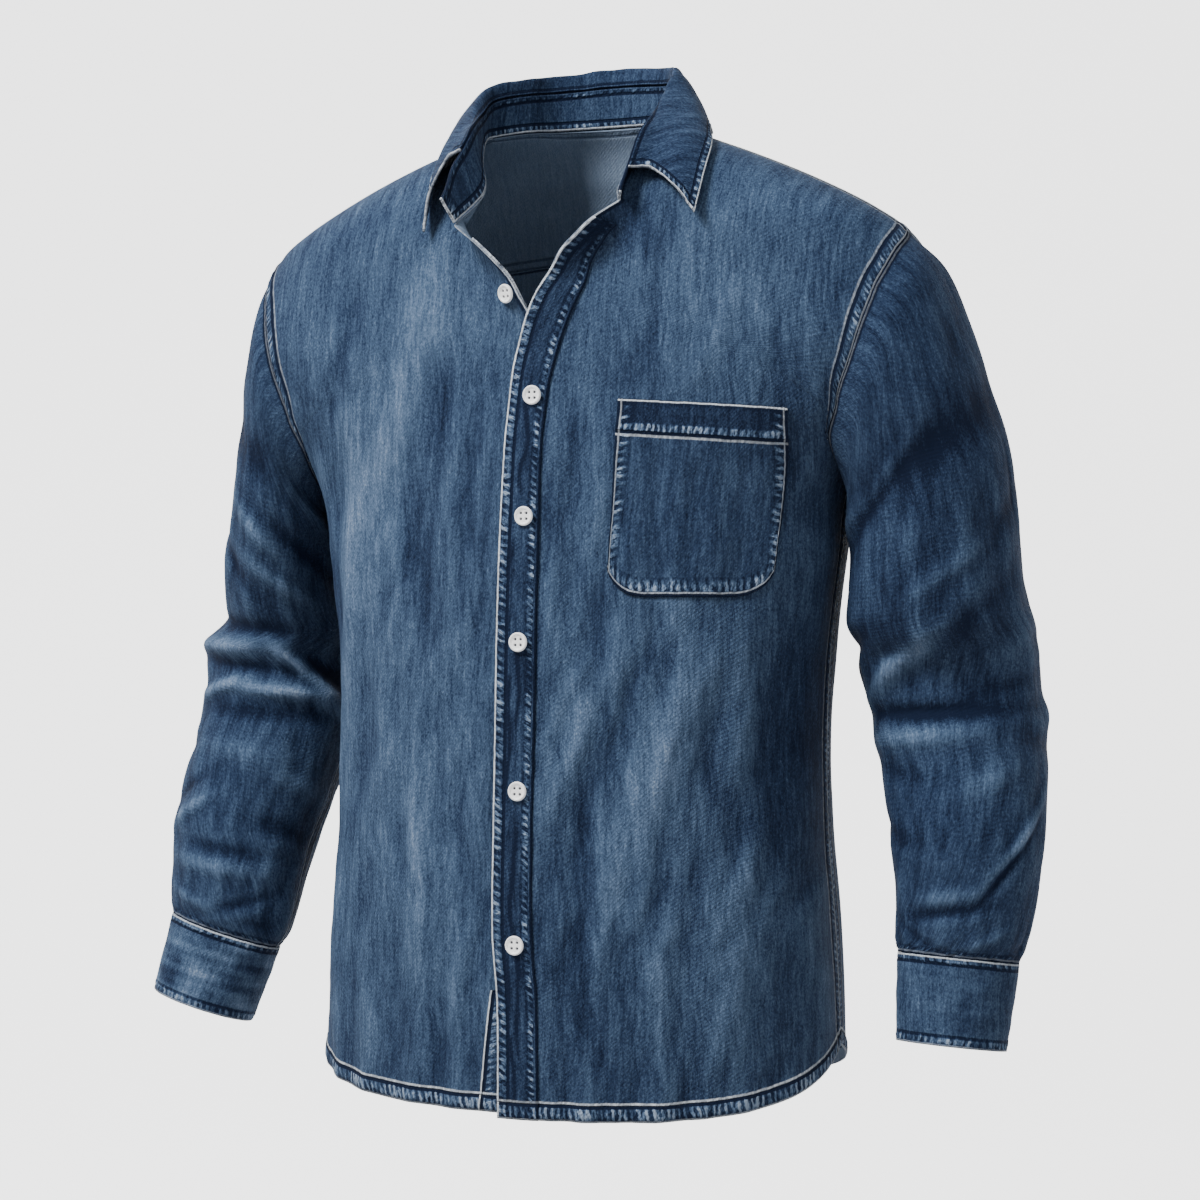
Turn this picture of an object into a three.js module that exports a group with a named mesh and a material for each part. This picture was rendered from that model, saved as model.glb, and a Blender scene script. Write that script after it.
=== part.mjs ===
import * as THREE from 'three';

// A long-sleeved denim shirt, worn open at the neck, hollow, on a general figure.
// Millimetres. X runs to the wearer's left, -Y is the front, +Z is up. The origin lies on the torso's axis at the
// height where neck and shoulder meet.

// Cloth and gaps
const CLOTH = 1.2;
const STRIP = 1.1;
const BAND = 2.2;
const SEAM_GAP = 0.3;
const LAYER_GAP = 0.4;
const ARMHOLE_GAP = 1.3;

// Driving sizes
const SIDE_SEAM_TOP = -276;
const SIDE_SEAM_END = -678;
const HEM_LEFT = -722;
const HEM_RIGHT = -719;
const HEM_BACK = -738;
const YOKE_BACK = -83;
const YOKE_AT_ARMHOLE = 0.3;
const SECTION_SQUARENESS = 0.045;
const PLACKET_WIDTH = 31;
const OVERLAP_LIFT = 2.0;
const LIFT_FROM = 22;
const LIFT_TO = 48;
const POCKET_HEM = 24;
const POCKET_CORNER = 26;
const POCKET_GAP = 0.7;
const POCKET_TURN = 1.0;
const BUTTON_RADIUS = 7;
const BUTTON_HEIGHT = 3;
const CUFF_LENGTH = 61;
const CUFF_GAP = 1.0;

// Grid steps
const ARMHOLE_STEPS = 10;
const FRONT_ROWS = 27;
const FRONT_COLUMNS = 13;
const STRIP_COLUMNS = 3;
const STRIP_TOP_ROW = 5;
const BACK_COLUMNS = 18;
const BACK_ROWS = 24;
const SLEEVE_ROWS = 24;
const NECK_PART = 4 / FRONT_ROWS;
const ARMHOLE_PART = ARMHOLE_STEPS / FRONT_ROWS;

// Finish
const INDIGO = { color: 0x3f5f86, roughness: 0.92, metalness: 0 };
const FADED = { color: 0x54708f, roughness: 0.92, metalness: 0 };
const SHELL_WHITE = { color: 0xe9e8e4, roughness: 0.4, metalness: 0 };

// A table names its columns; the first is the knot that the others follow.
function table(columns, rows) {
  return { names: columns.split(' '), rows };
}

// Smooth values between a table's rows: a cubic whose slope at a row is that of its neighbours.
function track({ names, rows }, at) {
  const rising = rows[0][0] < rows[rows.length - 1][0];
  const list = rising ? rows : [...rows].reverse();
  const last = list.length - 1;
  const knot = Math.min(Math.max(at, list[0][0]), list[last][0]);
  let i = 0;
  while (i < last - 1 && knot >= list[i + 1][0]) i += 1;
  const slope = (k, c) => {
    const before = list[Math.max(k - 1, 0)];
    const after = list[Math.min(k + 1, last)];
    return (after[c] - before[c]) / (after[0] - before[0]);
  };
  const h = list[i + 1][0] - list[i][0];
  const u = (knot - list[i][0]) / h;
  const values = {};
  for (let c = 1; c < names.length; c += 1) {
    values[names[c]] = list[i][c] * (1 + 2 * u) * (1 - u) ** 2 + slope(i, c) * h * u * (1 - u) ** 2
      + list[i + 1][c] * u * u * (3 - 2 * u) + slope(i + 1, c) * h * u * u * (u - 1);
  }
  return values;
}

const radians = (degrees) => (degrees * Math.PI) / 180;
const mix = (a, b, part) => a + (b - a) * part;
const smooth = (from, to, at) => {
  const part = Math.min(Math.max((at - from) / (to - from), 0), 1);
  return part * part * (3 - 2 * part);
};
const point = (x, y, z) => new THREE.Vector3(x, y, z);

// The torso's level sections: half width at the side, and how far forward and back the cloth lies.
const TORSO = table('height halfWidth front back middle', [
  [20, 48, -10, 66, 6],
  [0, 76, -25, 80, 6],
  [-12, 102, -48, 86, 6],
  [-25, 135, -62, 91, 6],
  [-40, 170, -72, 98, 6],
  [-55, 201, -79, 103, 7],
  [-70, 228, -84, 109, 7],
  [-86, 250, -88, 113, 8],
  [-125, 274, -93, 121, 8],
  [-166, 284, -98, 126, 7],
  [-213, 254, -103, 126, 5],
  [-240, 228, -107, 124, 5],
  [-275, 209, -110, 121, 5],
  [-320, 202, -114, 116, 5],
  [-384, 194, -118, 112, 5],
  [-450, 190.5, -120, 111, 5],
  [-520, 191.5, -122, 113, 5],
  [-600, 197.5, -126, 117, 5],
  [-680, 201, -129, 120, 5],
  [-760, 202, -131, 122, 5],
]);

// The largest soft folds of the body, each a ridge or a trough from one end to the other.
const BODY_FOLDS = table('fold x0 z0 x1 z1 width depth', [
  [0, 82, -375, 22, -520, 13, 3.6],
  [1, 150, -372, 62, -585, 17, 3.2],
  [2, 186, -360, 150, -560, 15, -2.8],
  [3, -88, -110, -122, -262, 15, 3.0],
  [4, -136, -250, -160, -470, 11, 3.6],
  [5, -60, -160, -84, -400, 17, -2.6],
  [6, -112, -430, -70, -640, 18, 2.6],
  [7, 196, -300, 172, -440, 13, 3.0],
]);

function bodyFold(x, z) {
  let rise = 0;
  for (const [, x0, z0, x1, z1, width, depth] of BODY_FOLDS.rows) {
    const length = Math.hypot(x1 - x0, z1 - z0);
    const along = ((x - x0) * (x1 - x0) + (z - z0) * (z1 - z0)) / length;
    const off = ((x - x0) * (z1 - z0) - (z - z0) * (x1 - x0)) / length;
    const ends = smooth(-0.1 * length, 0.25 * length, along) * smooth(1.15 * length, 0.7 * length, along);
    rise += depth * ends * Math.exp(-((off / width) ** 2));
  }
  return rise;
}

// Where the cloth lies at an angle round the torso (0 centre front, 90 the wearer's left side, 180 centre back).
function section(height) {
  return track(TORSO, height);
}

function onTorso(angle, height) {
  const { halfWidth, front, back, middle } = section(height);
  const turn = radians(angle);
  const bulge = 1 + SECTION_SQUARENESS * Math.sin(2 * turn) ** 2;
  const depth = Math.cos(turn) > 0 ? middle - front : back - middle;
  return point(halfWidth * Math.sin(turn) * bulge, middle - depth * Math.cos(turn) * bulge, height);
}

function angleThrough(x, y, height) {
  const { halfWidth, front, back, middle } = section(height);
  const depth = y < middle ? middle - front : back - middle;
  return (Math.atan2(x / halfWidth, (middle - y) / depth) * 180) / Math.PI;
}

// How far out a place lies, as a share of the torso's own section: 1 on the cloth.
function reach(x, y, height) {
  const { halfWidth, front, back, middle } = section(height);
  const depth = y < middle ? middle - front : back - middle;
  const turn = Math.atan2(x / halfWidth, (middle - y) / depth);
  return Math.hypot(x / halfWidth, (y - middle) / depth) / (1 + SECTION_SQUARENESS * Math.sin(2 * turn) ** 2);
}

// The front's angle at a distance x from the centre.
function frontAngle(x, height) {
  let low = -90;
  let high = 90;
  for (let i = 0; i < 40; i += 1) {
    const middle = (low + high) / 2;
    if (onTorso(middle, height).x < x) low = middle;
    else high = middle;
  }
  return (low + high) / 2;
}

// The armholes: a share of the way from the shoulder's front seam down to the underarm, in front and behind.
const ARMHOLE_FRONT = table('part angle height', [
  [0, 86, -88.5],
  [0.12, 70, -104],
  [0.23, 60, -125],
  [0.33, 54.5, -146],
  [0.42, 52, -166],
  [0.54, 53, -193],
  [0.63, 55.5, -213],
  [0.74, 62, -239],
  [0.88, 75, -262],
  [1, 90, SIDE_SEAM_TOP],
]);
const ARMHOLE_BACK = table('part angle height', [
  [0, 86, -88.5],
  [0.12, 100, -106],
  [0.28, 114, -130],
  [0.4, 119, -158],
  [0.53, 121, -190],
  [0.64, 118.5, -216],
  [0.75, 112, -240],
  [0.88, 102, -263],
  [1, 90, SIDE_SEAM_TOP],
]);

// A place on an armhole, on the straight stretch between two of its even steps, so that every piece sewn there
// meets the others along one line.
function armhole(curve, part, side) {
  const step = Math.min(Math.floor(part * ARMHOLE_STEPS + 1e-6), ARMHOLE_STEPS - 1);
  const ends = [step, step + 1].map((k) => {
    const { angle, height } = track(curve, k / ARMHOLE_STEPS);
    return onTorso(angle, height);
  });
  const at = ends[0].lerp(ends[1], part * ARMHOLE_STEPS - step);
  at.x *= side;
  const { angle, height } = track(curve, part);
  return { angle: angle * side, height, at };
}

// The neck seam, from the wearer's right front end round the back to the left one, with the collar above it:
// where the stand's top edge, the leaf's fold and the leaf's outer edge lie at each station.
const COLLAR = table('station x y z topX topY topZ foldX foldY foldZ edgeX edgeY edgeZ', [
  [-7, -54, -110, -82, -64, -123, -58, -82, -104, -52, -88, -98, -92],
  [-6, -45, -78, -56, -58, -92, -26, -70, -90, -30, -88, -92, -83],
  [-5, -54, -62, -31, -57, -72, -5, -70, -64, -7, -94, -66, -41],
  [-4, -67, -28, -9, -69, -29, 12, -76, -31, 17, -95, -34, -11],
  [-3, -73, 5, 0, -74, 4, 28, -79, 4, 39, -103, 0, -4],
  [-2, -57, 33, 7, -58, 34, 37, -60, 38, 50, -86, 50, 0],
  [-1, -40, 58, 11, -42, 60, 42, -44, 66, 56, -58, 90, 5],
  [0, 0, 71, 13, 0, 74, 46, 0, 80, 61, 0, 104, 8],
  [1, 40, 58, 11, 42, 60, 42, 44, 66, 56, 58, 90, 5],
  [2, 57, 33, 7, 58, 34, 37, 60, 38, 50, 86, 50, 0],
  [3, 73, 5, 0, 71, 6, 29, 72, 9, 41, 103, -2, -4],
  [4, 71, -26, -9, 71, -28, 6, 76, -30, 9, 119, -42, -24],
  [5, 66, -58, -30, 71, -62, -15, 82, -58, -18, 123, -68, -47],
  [6, 61, -78, -57, 71, -87, -45, 86, -79, -45, 123, -90, -80],
  [7, 66, -92, -68, 72, -103, -62, 92, -90, -62, 124, -100, -92],
]);
const LEAF_END = 6;
const STAND_LIFT = 3;
const LEAF_LIFT = 2.1;
const YOKE_NECK = 3.15;

function neckSeam(station) {
  const { x, y, z } = track(COLLAR, station);
  return point(x, y, z);
}

// The free edges of the two fronts, from the neck's end to the hem: the place on the torso that each belongs to,
// and how far it is drawn away from there, because the open collar turns the edges forward.
const LEFT_EDGE = table('part x height awayX awayY awayZ', [
  [0, 62, -66, 4, -11, -2],
  [0.05, 49, -80, 1, -21, -2],
  [0.1, 37, -92, 1, -20, -1],
  [0.15, 26, -103, 1, -17, 0],
  [0.2, 17, -116, 1, -12, 0],
  [0.25, 8, -130, 0, -9, 0],
  [0.3, 0, -147, 0, -6, 0],
  [0.35, -6, -166, 0, -2, 0],
  [0.41, -12, -195, 0, 0, 0],
  [0.51, -15.5, -270, 0, 0, 0],
  [0.68, -16.5, -425, 0, 0, 0],
  [0.84, -16.5, -585, 0, 0, 0],
  [0.9, -11.5, -640, 0, 0, 0],
  [1, -9.8, HEM_LEFT, 0, 0, 0],
]);
const RIGHT_EDGE = table('part x height awayX awayY awayZ', [
  [0, -42, -70, -12, -30, -12],
  [0.05, -32, -92, -6, -24, -3],
  [0.1, -22, -106, -2, -21, -2],
  [0.15, -13, -120, 0, -14, -1],
  [0.2, -6, -135, 0, -8, 0],
  [0.25, 1, -149, 0, -2, 0],
  [0.3, 8, -163, 0, 0, 0],
  [0.35, 13, -181, 0, 0, 0],
  [0.41, 15, -205, 0, 0, 0],
  [0.7, 15, -445, 0, 0, 0],
  [1, 15, HEM_RIGHT, 0, 0, 0],
]);

// A front's inner edge: down the neck seam, then down the free edge.
function frontInner(row, side) {
  if (row < NECK_PART) {
    const at = neckSeam(side * mix(YOKE_NECK, 7, row / NECK_PART));
    let height = at.z;
    for (let i = 0; i < 12; i += 1) height += 40 * (1 - reach(at.x, at.y, height));
    const begin = edgeRoot(0, side);
    const drawn = smooth(0.55, 1, row / NECK_PART);
    return {
      angle: mix(angleThrough(at.x, at.y, height), begin.angle, drawn),
      height: mix(height, begin.height, drawn),
      at,
    };
  }
  return edgeRoot((row - NECK_PART) / (1 - NECK_PART), side);
}

function edgeRoot(part, side) {
  const edge = track(side > 0 ? LEFT_EDGE : RIGHT_EDGE, part);
  const angle = frontAngle(edge.x, edge.height);
  const at = onTorso(angle, edge.height).add(point(edge.awayX, edge.awayY, edge.awayZ));
  return { angle, height: edge.height, at };
}

// A front's outer edge: down the armhole, then down the side seam.
function frontOuter(row, side) {
  if (row < ARMHOLE_PART) return armhole(ARMHOLE_FRONT, row / ARMHOLE_PART, side);
  const height = mix(SIDE_SEAM_TOP, SIDE_SEAM_END, (row - ARMHOLE_PART) / (1 - ARMHOLE_PART));
  const angle = side * (90 - radiansToDegrees(SEAM_GAP / 2 / section(height).halfWidth));
  return { angle, height, at: onTorso(angle, height) };
}

function radiansToDegrees(turn) {
  return (turn * 180) / Math.PI;
}

// Cloth between two edges: it follows the torso, and near each edge it is drawn to where that edge lies.
function between(inner, outer, part, curve, innerHold, outerHold) {
  const height = mix(inner.height, outer.height, part ** curve);
  const place = onTorso(mix(inner.angle, outer.angle, part), height);
  const innerAway = inner.at.clone().sub(onTorso(inner.angle, inner.height));
  const outerAway = outer.at.clone().sub(onTorso(outer.angle, outer.height));
  place.addScaledVector(innerAway, Math.max(0, 1 - part / innerHold) ** 2);
  place.addScaledVector(outerAway, Math.max(0, 1 - (1 - part) / outerHold) ** 2);
  return place;
}

// The way out of the torso, level and square to its section.
function outward(place) {
  const { halfWidth, front, back, middle } = section(place.z);
  const depth = place.y < middle ? middle - front : back - middle;
  return point(place.x / halfWidth ** 2, (place.y - middle) / depth ** 2, 0).normalize();
}

function frontPlace(side, part, row) {
  const inner = frontInner(row, side);
  const outer = frontOuter(row, side);
  const wide = inner.at.distanceTo(outer.at) * 1.08;
  const curve = 1 + 2 * smooth(0.5, 1, row);
  const place = between(inner, outer, part, curve, Math.min(1, 24 / wide), 0.12);
  const away = outward(place);
  place.addScaledVector(away, bodyFold(place.x, place.z) * smooth(0, 0.15, part) * smooth(1, 0.85, part));
  if (side > 0) {
    const overlap = smooth(LIFT_TO, LIFT_FROM, place.x) * smooth(-112, -146, place.z);
    place.addScaledVector(away, OVERLAP_LIFT * overlap);
  }
  return place;
}

// A closed wall over a grid of places. Its two faces lie at an inner and an outer distance along the surface's own
// normal, and strips close its edges. On a ring the last column meets the first. A band's outer distance may vary.
function wall(columns, rows, place, inner, outer, { ring = false, flip = false } = {}) {
  const wide = ring ? columns : columns + 1;
  const step = 1e-3;
  const wrap = (u) => (ring ? (u + 1) % 1 : Math.min(Math.max(u, 0), 1));
  const clamp = (v) => Math.min(Math.max(v, 0), 1);
  const vertices = [];
  for (const face of [inner, outer]) {
    for (let j = 0; j <= rows; j += 1) {
      for (let i = 0; i < wide; i += 1) {
        const u = i / columns;
        const v = j / rows;
        const along = place(wrap(u + step), v).sub(place(wrap(u - step), v));
        const down = place(u, clamp(v + step)).sub(place(u, clamp(v - step)));
        const normal = along.cross(down).normalize();
        const distance = typeof face === 'function' ? face(u, v) : face;
        const at = place(u, v).addScaledVector(normal, flip ? -distance : distance);
        vertices.push(at.x, at.y, at.z);
      }
    }
  }
  const layer = wide * (rows + 1);
  const at = (side, i, j) => side * layer + j * wide + (i % wide);
  const faces = [];
  const quad = (a, b, c, d) => faces.push(a, b, c, a, c, d);
  for (let j = 0; j < rows; j += 1) {
    for (let i = 0; i < columns; i += 1) {
      quad(at(0, i, j), at(0, i, j + 1), at(0, i + 1, j + 1), at(0, i + 1, j));
      quad(at(1, i, j), at(1, i + 1, j), at(1, i + 1, j + 1), at(1, i, j + 1));
    }
    if (!ring) {
      quad(at(0, 0, j), at(1, 0, j), at(1, 0, j + 1), at(0, 0, j + 1));
      quad(at(0, columns, j), at(0, columns, j + 1), at(1, columns, j + 1), at(1, columns, j));
    }
  }
  for (let i = 0; i < columns; i += 1) {
    quad(at(0, i, 0), at(0, i + 1, 0), at(1, i + 1, 0), at(1, i, 0));
    quad(at(0, i, rows), at(1, i, rows), at(1, i + 1, rows), at(0, i + 1, rows));
  }
  return closed(vertices, faces);
}

// Faces that point out: a closed mesh of negative volume is turned round.
function closed(vertices, faces) {
  const corner = (k) => point(vertices[3 * k], vertices[3 * k + 1], vertices[3 * k + 2]);
  let volume = 0;
  for (let i = 0; i < faces.length; i += 3) {
    volume += corner(faces[i]).dot(corner(faces[i + 1]).cross(corner(faces[i + 2])));
  }
  if (volume < 0) {
    for (let i = 0; i < faces.length; i += 3) [faces[i], faces[i + 1]] = [faces[i + 1], faces[i]];
  }
  const geometry = new THREE.BufferGeometry();
  geometry.setAttribute('position', new THREE.Float32BufferAttribute(vertices, 3));
  geometry.setIndex(faces);
  geometry.computeVertexNormals();
  return geometry;
}

const shirt = new THREE.Group();

function piece(name, geometry, finish) {
  const mesh = new THREE.Mesh(geometry, new THREE.MeshStandardMaterial(finish));
  mesh.name = name;
  shirt.add(mesh);
  return mesh;
}

// Fronts. Their first columns span the strip along the free edge, so that the strip is made from the same points.
function stripPart(side, row) {
  const probe = 0.08;
  const rate = frontPlace(side, probe, row).distanceTo(frontPlace(side, 0, row)) / probe;
  const top = STRIP_TOP_ROW / FRONT_ROWS;
  return mix(side > 0 ? 9 : 22, PLACKET_WIDTH, smooth(top, top + 0.15, row)) / rate;
}

function frontGrid(side, column, row) {
  const strip = stripPart(side, row);
  const share = STRIP_COLUMNS / FRONT_COLUMNS;
  const part = column < share ? (strip * column) / share : mix(strip, 1, (column - share) / (1 - share));
  return frontPlace(side, part, row);
}

function front(name, side) {
  const place = (column, row) => frontGrid(side, column, row);
  piece(name, wall(FRONT_COLUMNS, FRONT_ROWS, place, 0, CLOTH, { flip: side > 0 }), INDIGO);
}

function edgeStrip(name, side, inner, outer) {
  const top = STRIP_TOP_ROW / FRONT_ROWS;
  const share = STRIP_COLUMNS / FRONT_COLUMNS - 1e-9;
  const place = (column, row) => frontGrid(side, column * share, mix(top, 1, row));
  piece(name, wall(STRIP_COLUMNS, FRONT_ROWS - STRIP_TOP_ROW, place, inner, outer, { flip: side > 0 }), FADED);
}

// Back panel, from the yoke's seam to the tail, between the armholes and side seams.
function back() {
  const outer = (row, side) => {
    const share = (ARMHOLE_STEPS * (1 - YOKE_AT_ARMHOLE)) / BACK_ROWS;
    if (row < share) {
      const part = mix(YOKE_AT_ARMHOLE, 1, row / share);
      return armhole(ARMHOLE_BACK, part, side);
    }
    const height = mix(SIDE_SEAM_TOP, SIDE_SEAM_END, (row - share) / (1 - share));
    const angle = side * (90 + radiansToDegrees(SEAM_GAP / 2 / section(height).halfWidth));
    return { angle, height, at: onTorso(angle, height) };
  };
  const place = (across, row) => {
    const part = Math.abs(across * 2 - 1);
    const side = across < 0.5 ? -1 : 1;
    const height = mix(YOKE_BACK, HEM_BACK, row);
    const inner = { angle: 180 * side, height, at: onTorso(180, height) };
    return between(inner, outer(row, side), part, mix(2, 1.3, row), 1, 0.12);
  };
  piece('back', wall(BACK_COLUMNS, BACK_ROWS, place, 0, CLOTH), INDIGO);
}

// Yoke: from the front seams and the back of the neck, over the shoulders, to the seam across the back.
function yoke() {
  const heart = point(0, 10, -170);
  const onCloth = (way) => {
    let near = 20;
    let far = 420;
    for (let i = 0; i < 40; i += 1) {
      const middle = (near + far) / 2;
      const at = heart.clone().addScaledVector(way, middle);
      if (at.z < 18 && reach(at.x, at.y, at.z) < 1) near = middle;
      else far = middle;
    }
    return heart.clone().addScaledVector(way, near);
  };
  const frontSeam = (part, side) => {
    const inner = frontInner(0, side);
    return between(inner, frontOuter(0, side), part, 1, 0.12, 0.12);
  };
  const backSeam = (across) => {
    const side = across < 0 ? -1 : 1;
    const part = Math.abs(across);
    const outer = armhole(ARMHOLE_BACK, YOKE_AT_ARMHOLE, side);
    const inner = { angle: 180 * side, height: YOKE_BACK, at: onTorso(180, YOKE_BACK) };
    return between(inner, outer, part, 2, 1, 0.12);
  };
  const shoulder = 0.3;
  const start = (u) => {
    if (u < shoulder) return frontSeam(1 - u / shoulder, -1);
    if (u > 1 - shoulder) return frontSeam(1 - (1 - u) / shoulder, 1);
    return neckSeam(mix(-YOKE_NECK, YOKE_NECK, (u - shoulder) / (1 - 2 * shoulder)));
  };
  const over = (u, part) => {
    const from = start(u).sub(heart);
    const to = backSeam(u * 2 - 1).sub(heart);
    const turn = from.angleTo(to);
    const way = from.clone().normalize().multiplyScalar(Math.sin((1 - part) * turn))
      .addScaledVector(to.clone().normalize(), Math.sin(part * turn)).normalize();
    const away = start(u).sub(onCloth(from.clone().normalize()));
    return onCloth(way).addScaledVector(away, Math.max(0, 1 - part / 0.3) ** 2);
  };
  const place = (u, v) => {
    const part = mix(0.004, 0.996, v);
    const at = over(u, part);
    const hold = Math.max(0, 1 - Math.min(u, 1 - u) / 0.12) ** 2;
    if (hold === 0) return at;
    const end = u < 0.5 ? 0 : 1;
    const seam = armhole(ARMHOLE_BACK, YOKE_AT_ARMHOLE * part, end * 2 - 1).at;
    return at.addScaledVector(seam.sub(over(end, part)), hold);
  };
  piece('yoke', wall(30, 6, place, 0, CLOTH), INDIGO);
}

// Sleeves: rings down the arm, the same way round for both sides. Roll lifts a ring's outer side, lean drops
// its back, and swing carries its back further out.
const SLEEVE_LEFT = table('ring x y z halfWidth halfDepth roll lean swing', [
  [1, 244.5, 5, -200.5, 89.2, 70, 69.3, 0, 14],
  [2, 257, 8, -238.5, 71, 70, 50, 0, 8],
  [3, 267, 14, -284, 62, 69, 24, -5, 3],
  [4, 270, 13, -330, 61.5, 69, 10, -10, 0],
  [5, 271.5, 17, -365, 64, 68, 6, -8, 0],
  [6, 275, 33, -393, 65.5, 66, 8, 0, 0],
  [7, 280, 33, -425, 62, 62, 8, 10, 0],
  [8, 287, 25, -456, 60.5, 60, 8, 9, 0],
  [9, 293, 14, -488, 58, 57, 7, 9, 0],
  [10, 297, 1, -522, 55, 54, 5, 8, 0],
  [11, 300, -12, -560, 49.5, 48, 2, 8, 0],
  [12, 299, -22, -592, 45, 41, -1, 8, 0],
  [13, 297.5, -26, -606, 41.5, 34, -3, 8, 0],
]);
const SLEEVE_RIGHT = table('ring x y z halfWidth halfDepth roll lean swing', [
  [1, 238.2, 5, -200.5, 87.3, 70, 73.1, 0, 17],
  [2, 245, 8, -240, 61.8, 70, 57.3, 0, 11],
  [3, 251, 14, -283, 47, 69, 29.3, -5, 4],
  [4, 259, 22, -328, 48, 68, 10, -10, 0],
  [5, 262, 33, -367, 52, 66, 6, -8, 0],
  [6, 273, 38, -395, 61.5, 66, 6, 0, 0],
  [7, 273, 33, -430, 60, 62, 5, 10, 0],
  [8, 276, 24, -461, 61, 60, 5, 9, 0],
  [9, 279.5, 13, -492, 60, 58, 6, 9, 0],
  [10, 285.5, 0, -527, 57, 54, 7, 8, 0],
  [11, 287.5, -12, -562, 53.5, 48, 9, 8, 0],
  [12, 289.5, -22, -598, 49.5, 41, 13, 8, 0],
  [13, 292, -26, -613, 44, 34, 16, 8, 0],
]);
const LAST_RING = 13;

// The largest creases of the sleeves: the height and the angle where each is deepest, how its height changes with
// the angle, its reach round and along the arm, and its depth. Angle 0 is outside, 90 in front, 180 inside.
const SLEEVE_FOLDS_LEFT = table('fold angle height slope turn width depth', [
  [0, 150, -352, 0.25, 80, 11, -5],
  [1, 120, -400, -0.3, 90, 13, -5.5],
  [2, 190, -436, 0.1, 60, 9, -6],
  [3, 60, -470, 0.35, 90, 13, -3.5],
  [4, 150, -520, -0.3, 80, 14, -3],
  [5, 70, -250, 0.6, 70, 20, -3],
]);
const SLEEVE_FOLDS_RIGHT = table('fold angle height slope turn width depth', [
  [0, 20, -372, 0.45, 75, 9, -5.5],
  [1, 70, -432, 0.2, 85, 10, -5.5],
  [2, 160, -405, 0.2, 60, 12, -5],
  [3, 120, -470, -0.35, 70, 13, -3.5],
  [4, 40, -540, 0.3, 80, 14, -3],
  [5, 80, -240, 0.6, 70, 20, -3],
]);

function sleeveFold(folds, angle, z) {
  let rise = 0;
  for (const [, centre, height, slope, turn, width, depth] of folds.rows) {
    const off = ((((angle - centre + 180) % 360) + 360) % 360) - 180;
    const across = (z - height + slope * off) / width;
    rise += depth * Math.exp(-(across ** 2)) * Math.exp(-((off / turn) ** 2));
  }
  return rise;
}

function ringPlace(rings, side, angle, ring) {
  const { x, y, z, halfWidth, halfDepth, roll, lean, swing } = track(rings, ring);
  const turn = radians(angle);
  const width = point(Math.cos(radians(roll)), 0, Math.sin(radians(roll)));
  const depth = point(0, Math.cos(radians(lean)), -Math.sin(radians(lean)));
  const at = point(x, y, z).addScaledVector(width, halfWidth * Math.cos(turn))
    .addScaledVector(depth, -halfDepth * Math.sin(turn));
  at.x = side * (at.x + swing * Math.max(0, -Math.sin(turn)));
  return at;
}

// The sleeve's head: the armhole's own line, moved out by the seam, and further under the arm, where the sleeve
// hangs beside the body.
function headPlace(rings, side, angle) {
  const forward = angle <= 180;
  const part = (forward ? angle : 360 - angle) / 180;
  const seam = armhole(forward ? ARMHOLE_FRONT : ARMHOLE_BACK, part, side).at;
  const next = ringPlace(rings, side, angle, 1);
  const under = Math.max(0, -Math.cos(radians(angle))) ** 2;
  const gap = forward ? ARMHOLE_GAP : mix(ARMHOLE_GAP, 2.5, Math.sin(radians(360 - angle)));
  return seam.clone().addScaledVector(next.sub(seam).normalize(), gap)
    .add(point(side * 4.6 * under, 0, 1.5 * under));
}

function sleevePlace(rings, folds, side, round, along) {
  const angle = round * 360;
  const ring = along * LAST_RING;
  const knots = [headPlace(rings, side, angle)];
  for (let k = 1; k <= 3; k += 1) knots.push(ringPlace(rings, side, angle, k));
  let at;
  if (ring < 2) {
    const rows = knots.map((p, k) => [k, p.x, p.y, p.z]);
    const { x, y, z } = track(table('k x y z', rows), ring);
    at = point(x, y, z);
  } else {
    at = ringPlace(rings, side, angle, ring);
  }
  const centre = track(rings, Math.max(ring, 1));
  const away = at.clone().sub(point(side * centre.x, centre.y, at.z)).normalize();
  return at.addScaledVector(away, sleeveFold(folds, angle, at.z) * smooth(0.5, 2.5, ring) * smooth(13, 12, ring));
}

function sleeve(name, rings, folds, side) {
  const place = (round, along) => sleevePlace(rings, folds, side, round, along);
  piece(name, wall(2 * ARMHOLE_STEPS, SLEEVE_ROWS, place, 0, CLOTH, { ring: true, flip: side < 0 }), INDIGO);
}

// Cuffs carry on along the forearm from the sleeve's last ring, and narrow a little.
function cuffFrame(rings, side) {
  const { x, y, z, halfWidth, halfDepth, roll, lean } = track(rings, LAST_RING);
  const along = point(Math.sin(radians(roll)), -Math.sin(radians(lean)), -Math.cos(radians(lean))).normalize();
  return { x, y, z, halfWidth, halfDepth, roll, lean, along, side };
}

function cuffPlace(frame, round, down) {
  const turn = radians(round * 360);
  const width = point(Math.cos(radians(frame.roll)), 0, Math.sin(radians(frame.roll)));
  const depth = point(0, Math.cos(radians(frame.lean)), -Math.sin(radians(frame.lean)));
  const at = point(frame.x, frame.y, frame.z)
    .addScaledVector(frame.along, CUFF_GAP + down * CUFF_LENGTH)
    .addScaledVector(width, (frame.halfWidth - 4.5 * down) * Math.cos(turn))
    .addScaledVector(depth, -(frame.halfDepth - down) * Math.sin(turn));
  at.x *= frame.side;
  return at;
}

function cuff(name, rings, side) {
  const frame = cuffFrame(rings, side);
  const place = (round, down) => cuffPlace(frame, round, down);
  piece(name, wall(24, 2, place, -0.3, BAND - 0.3, { ring: true, flip: side < 0 }), FADED);
}

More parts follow.
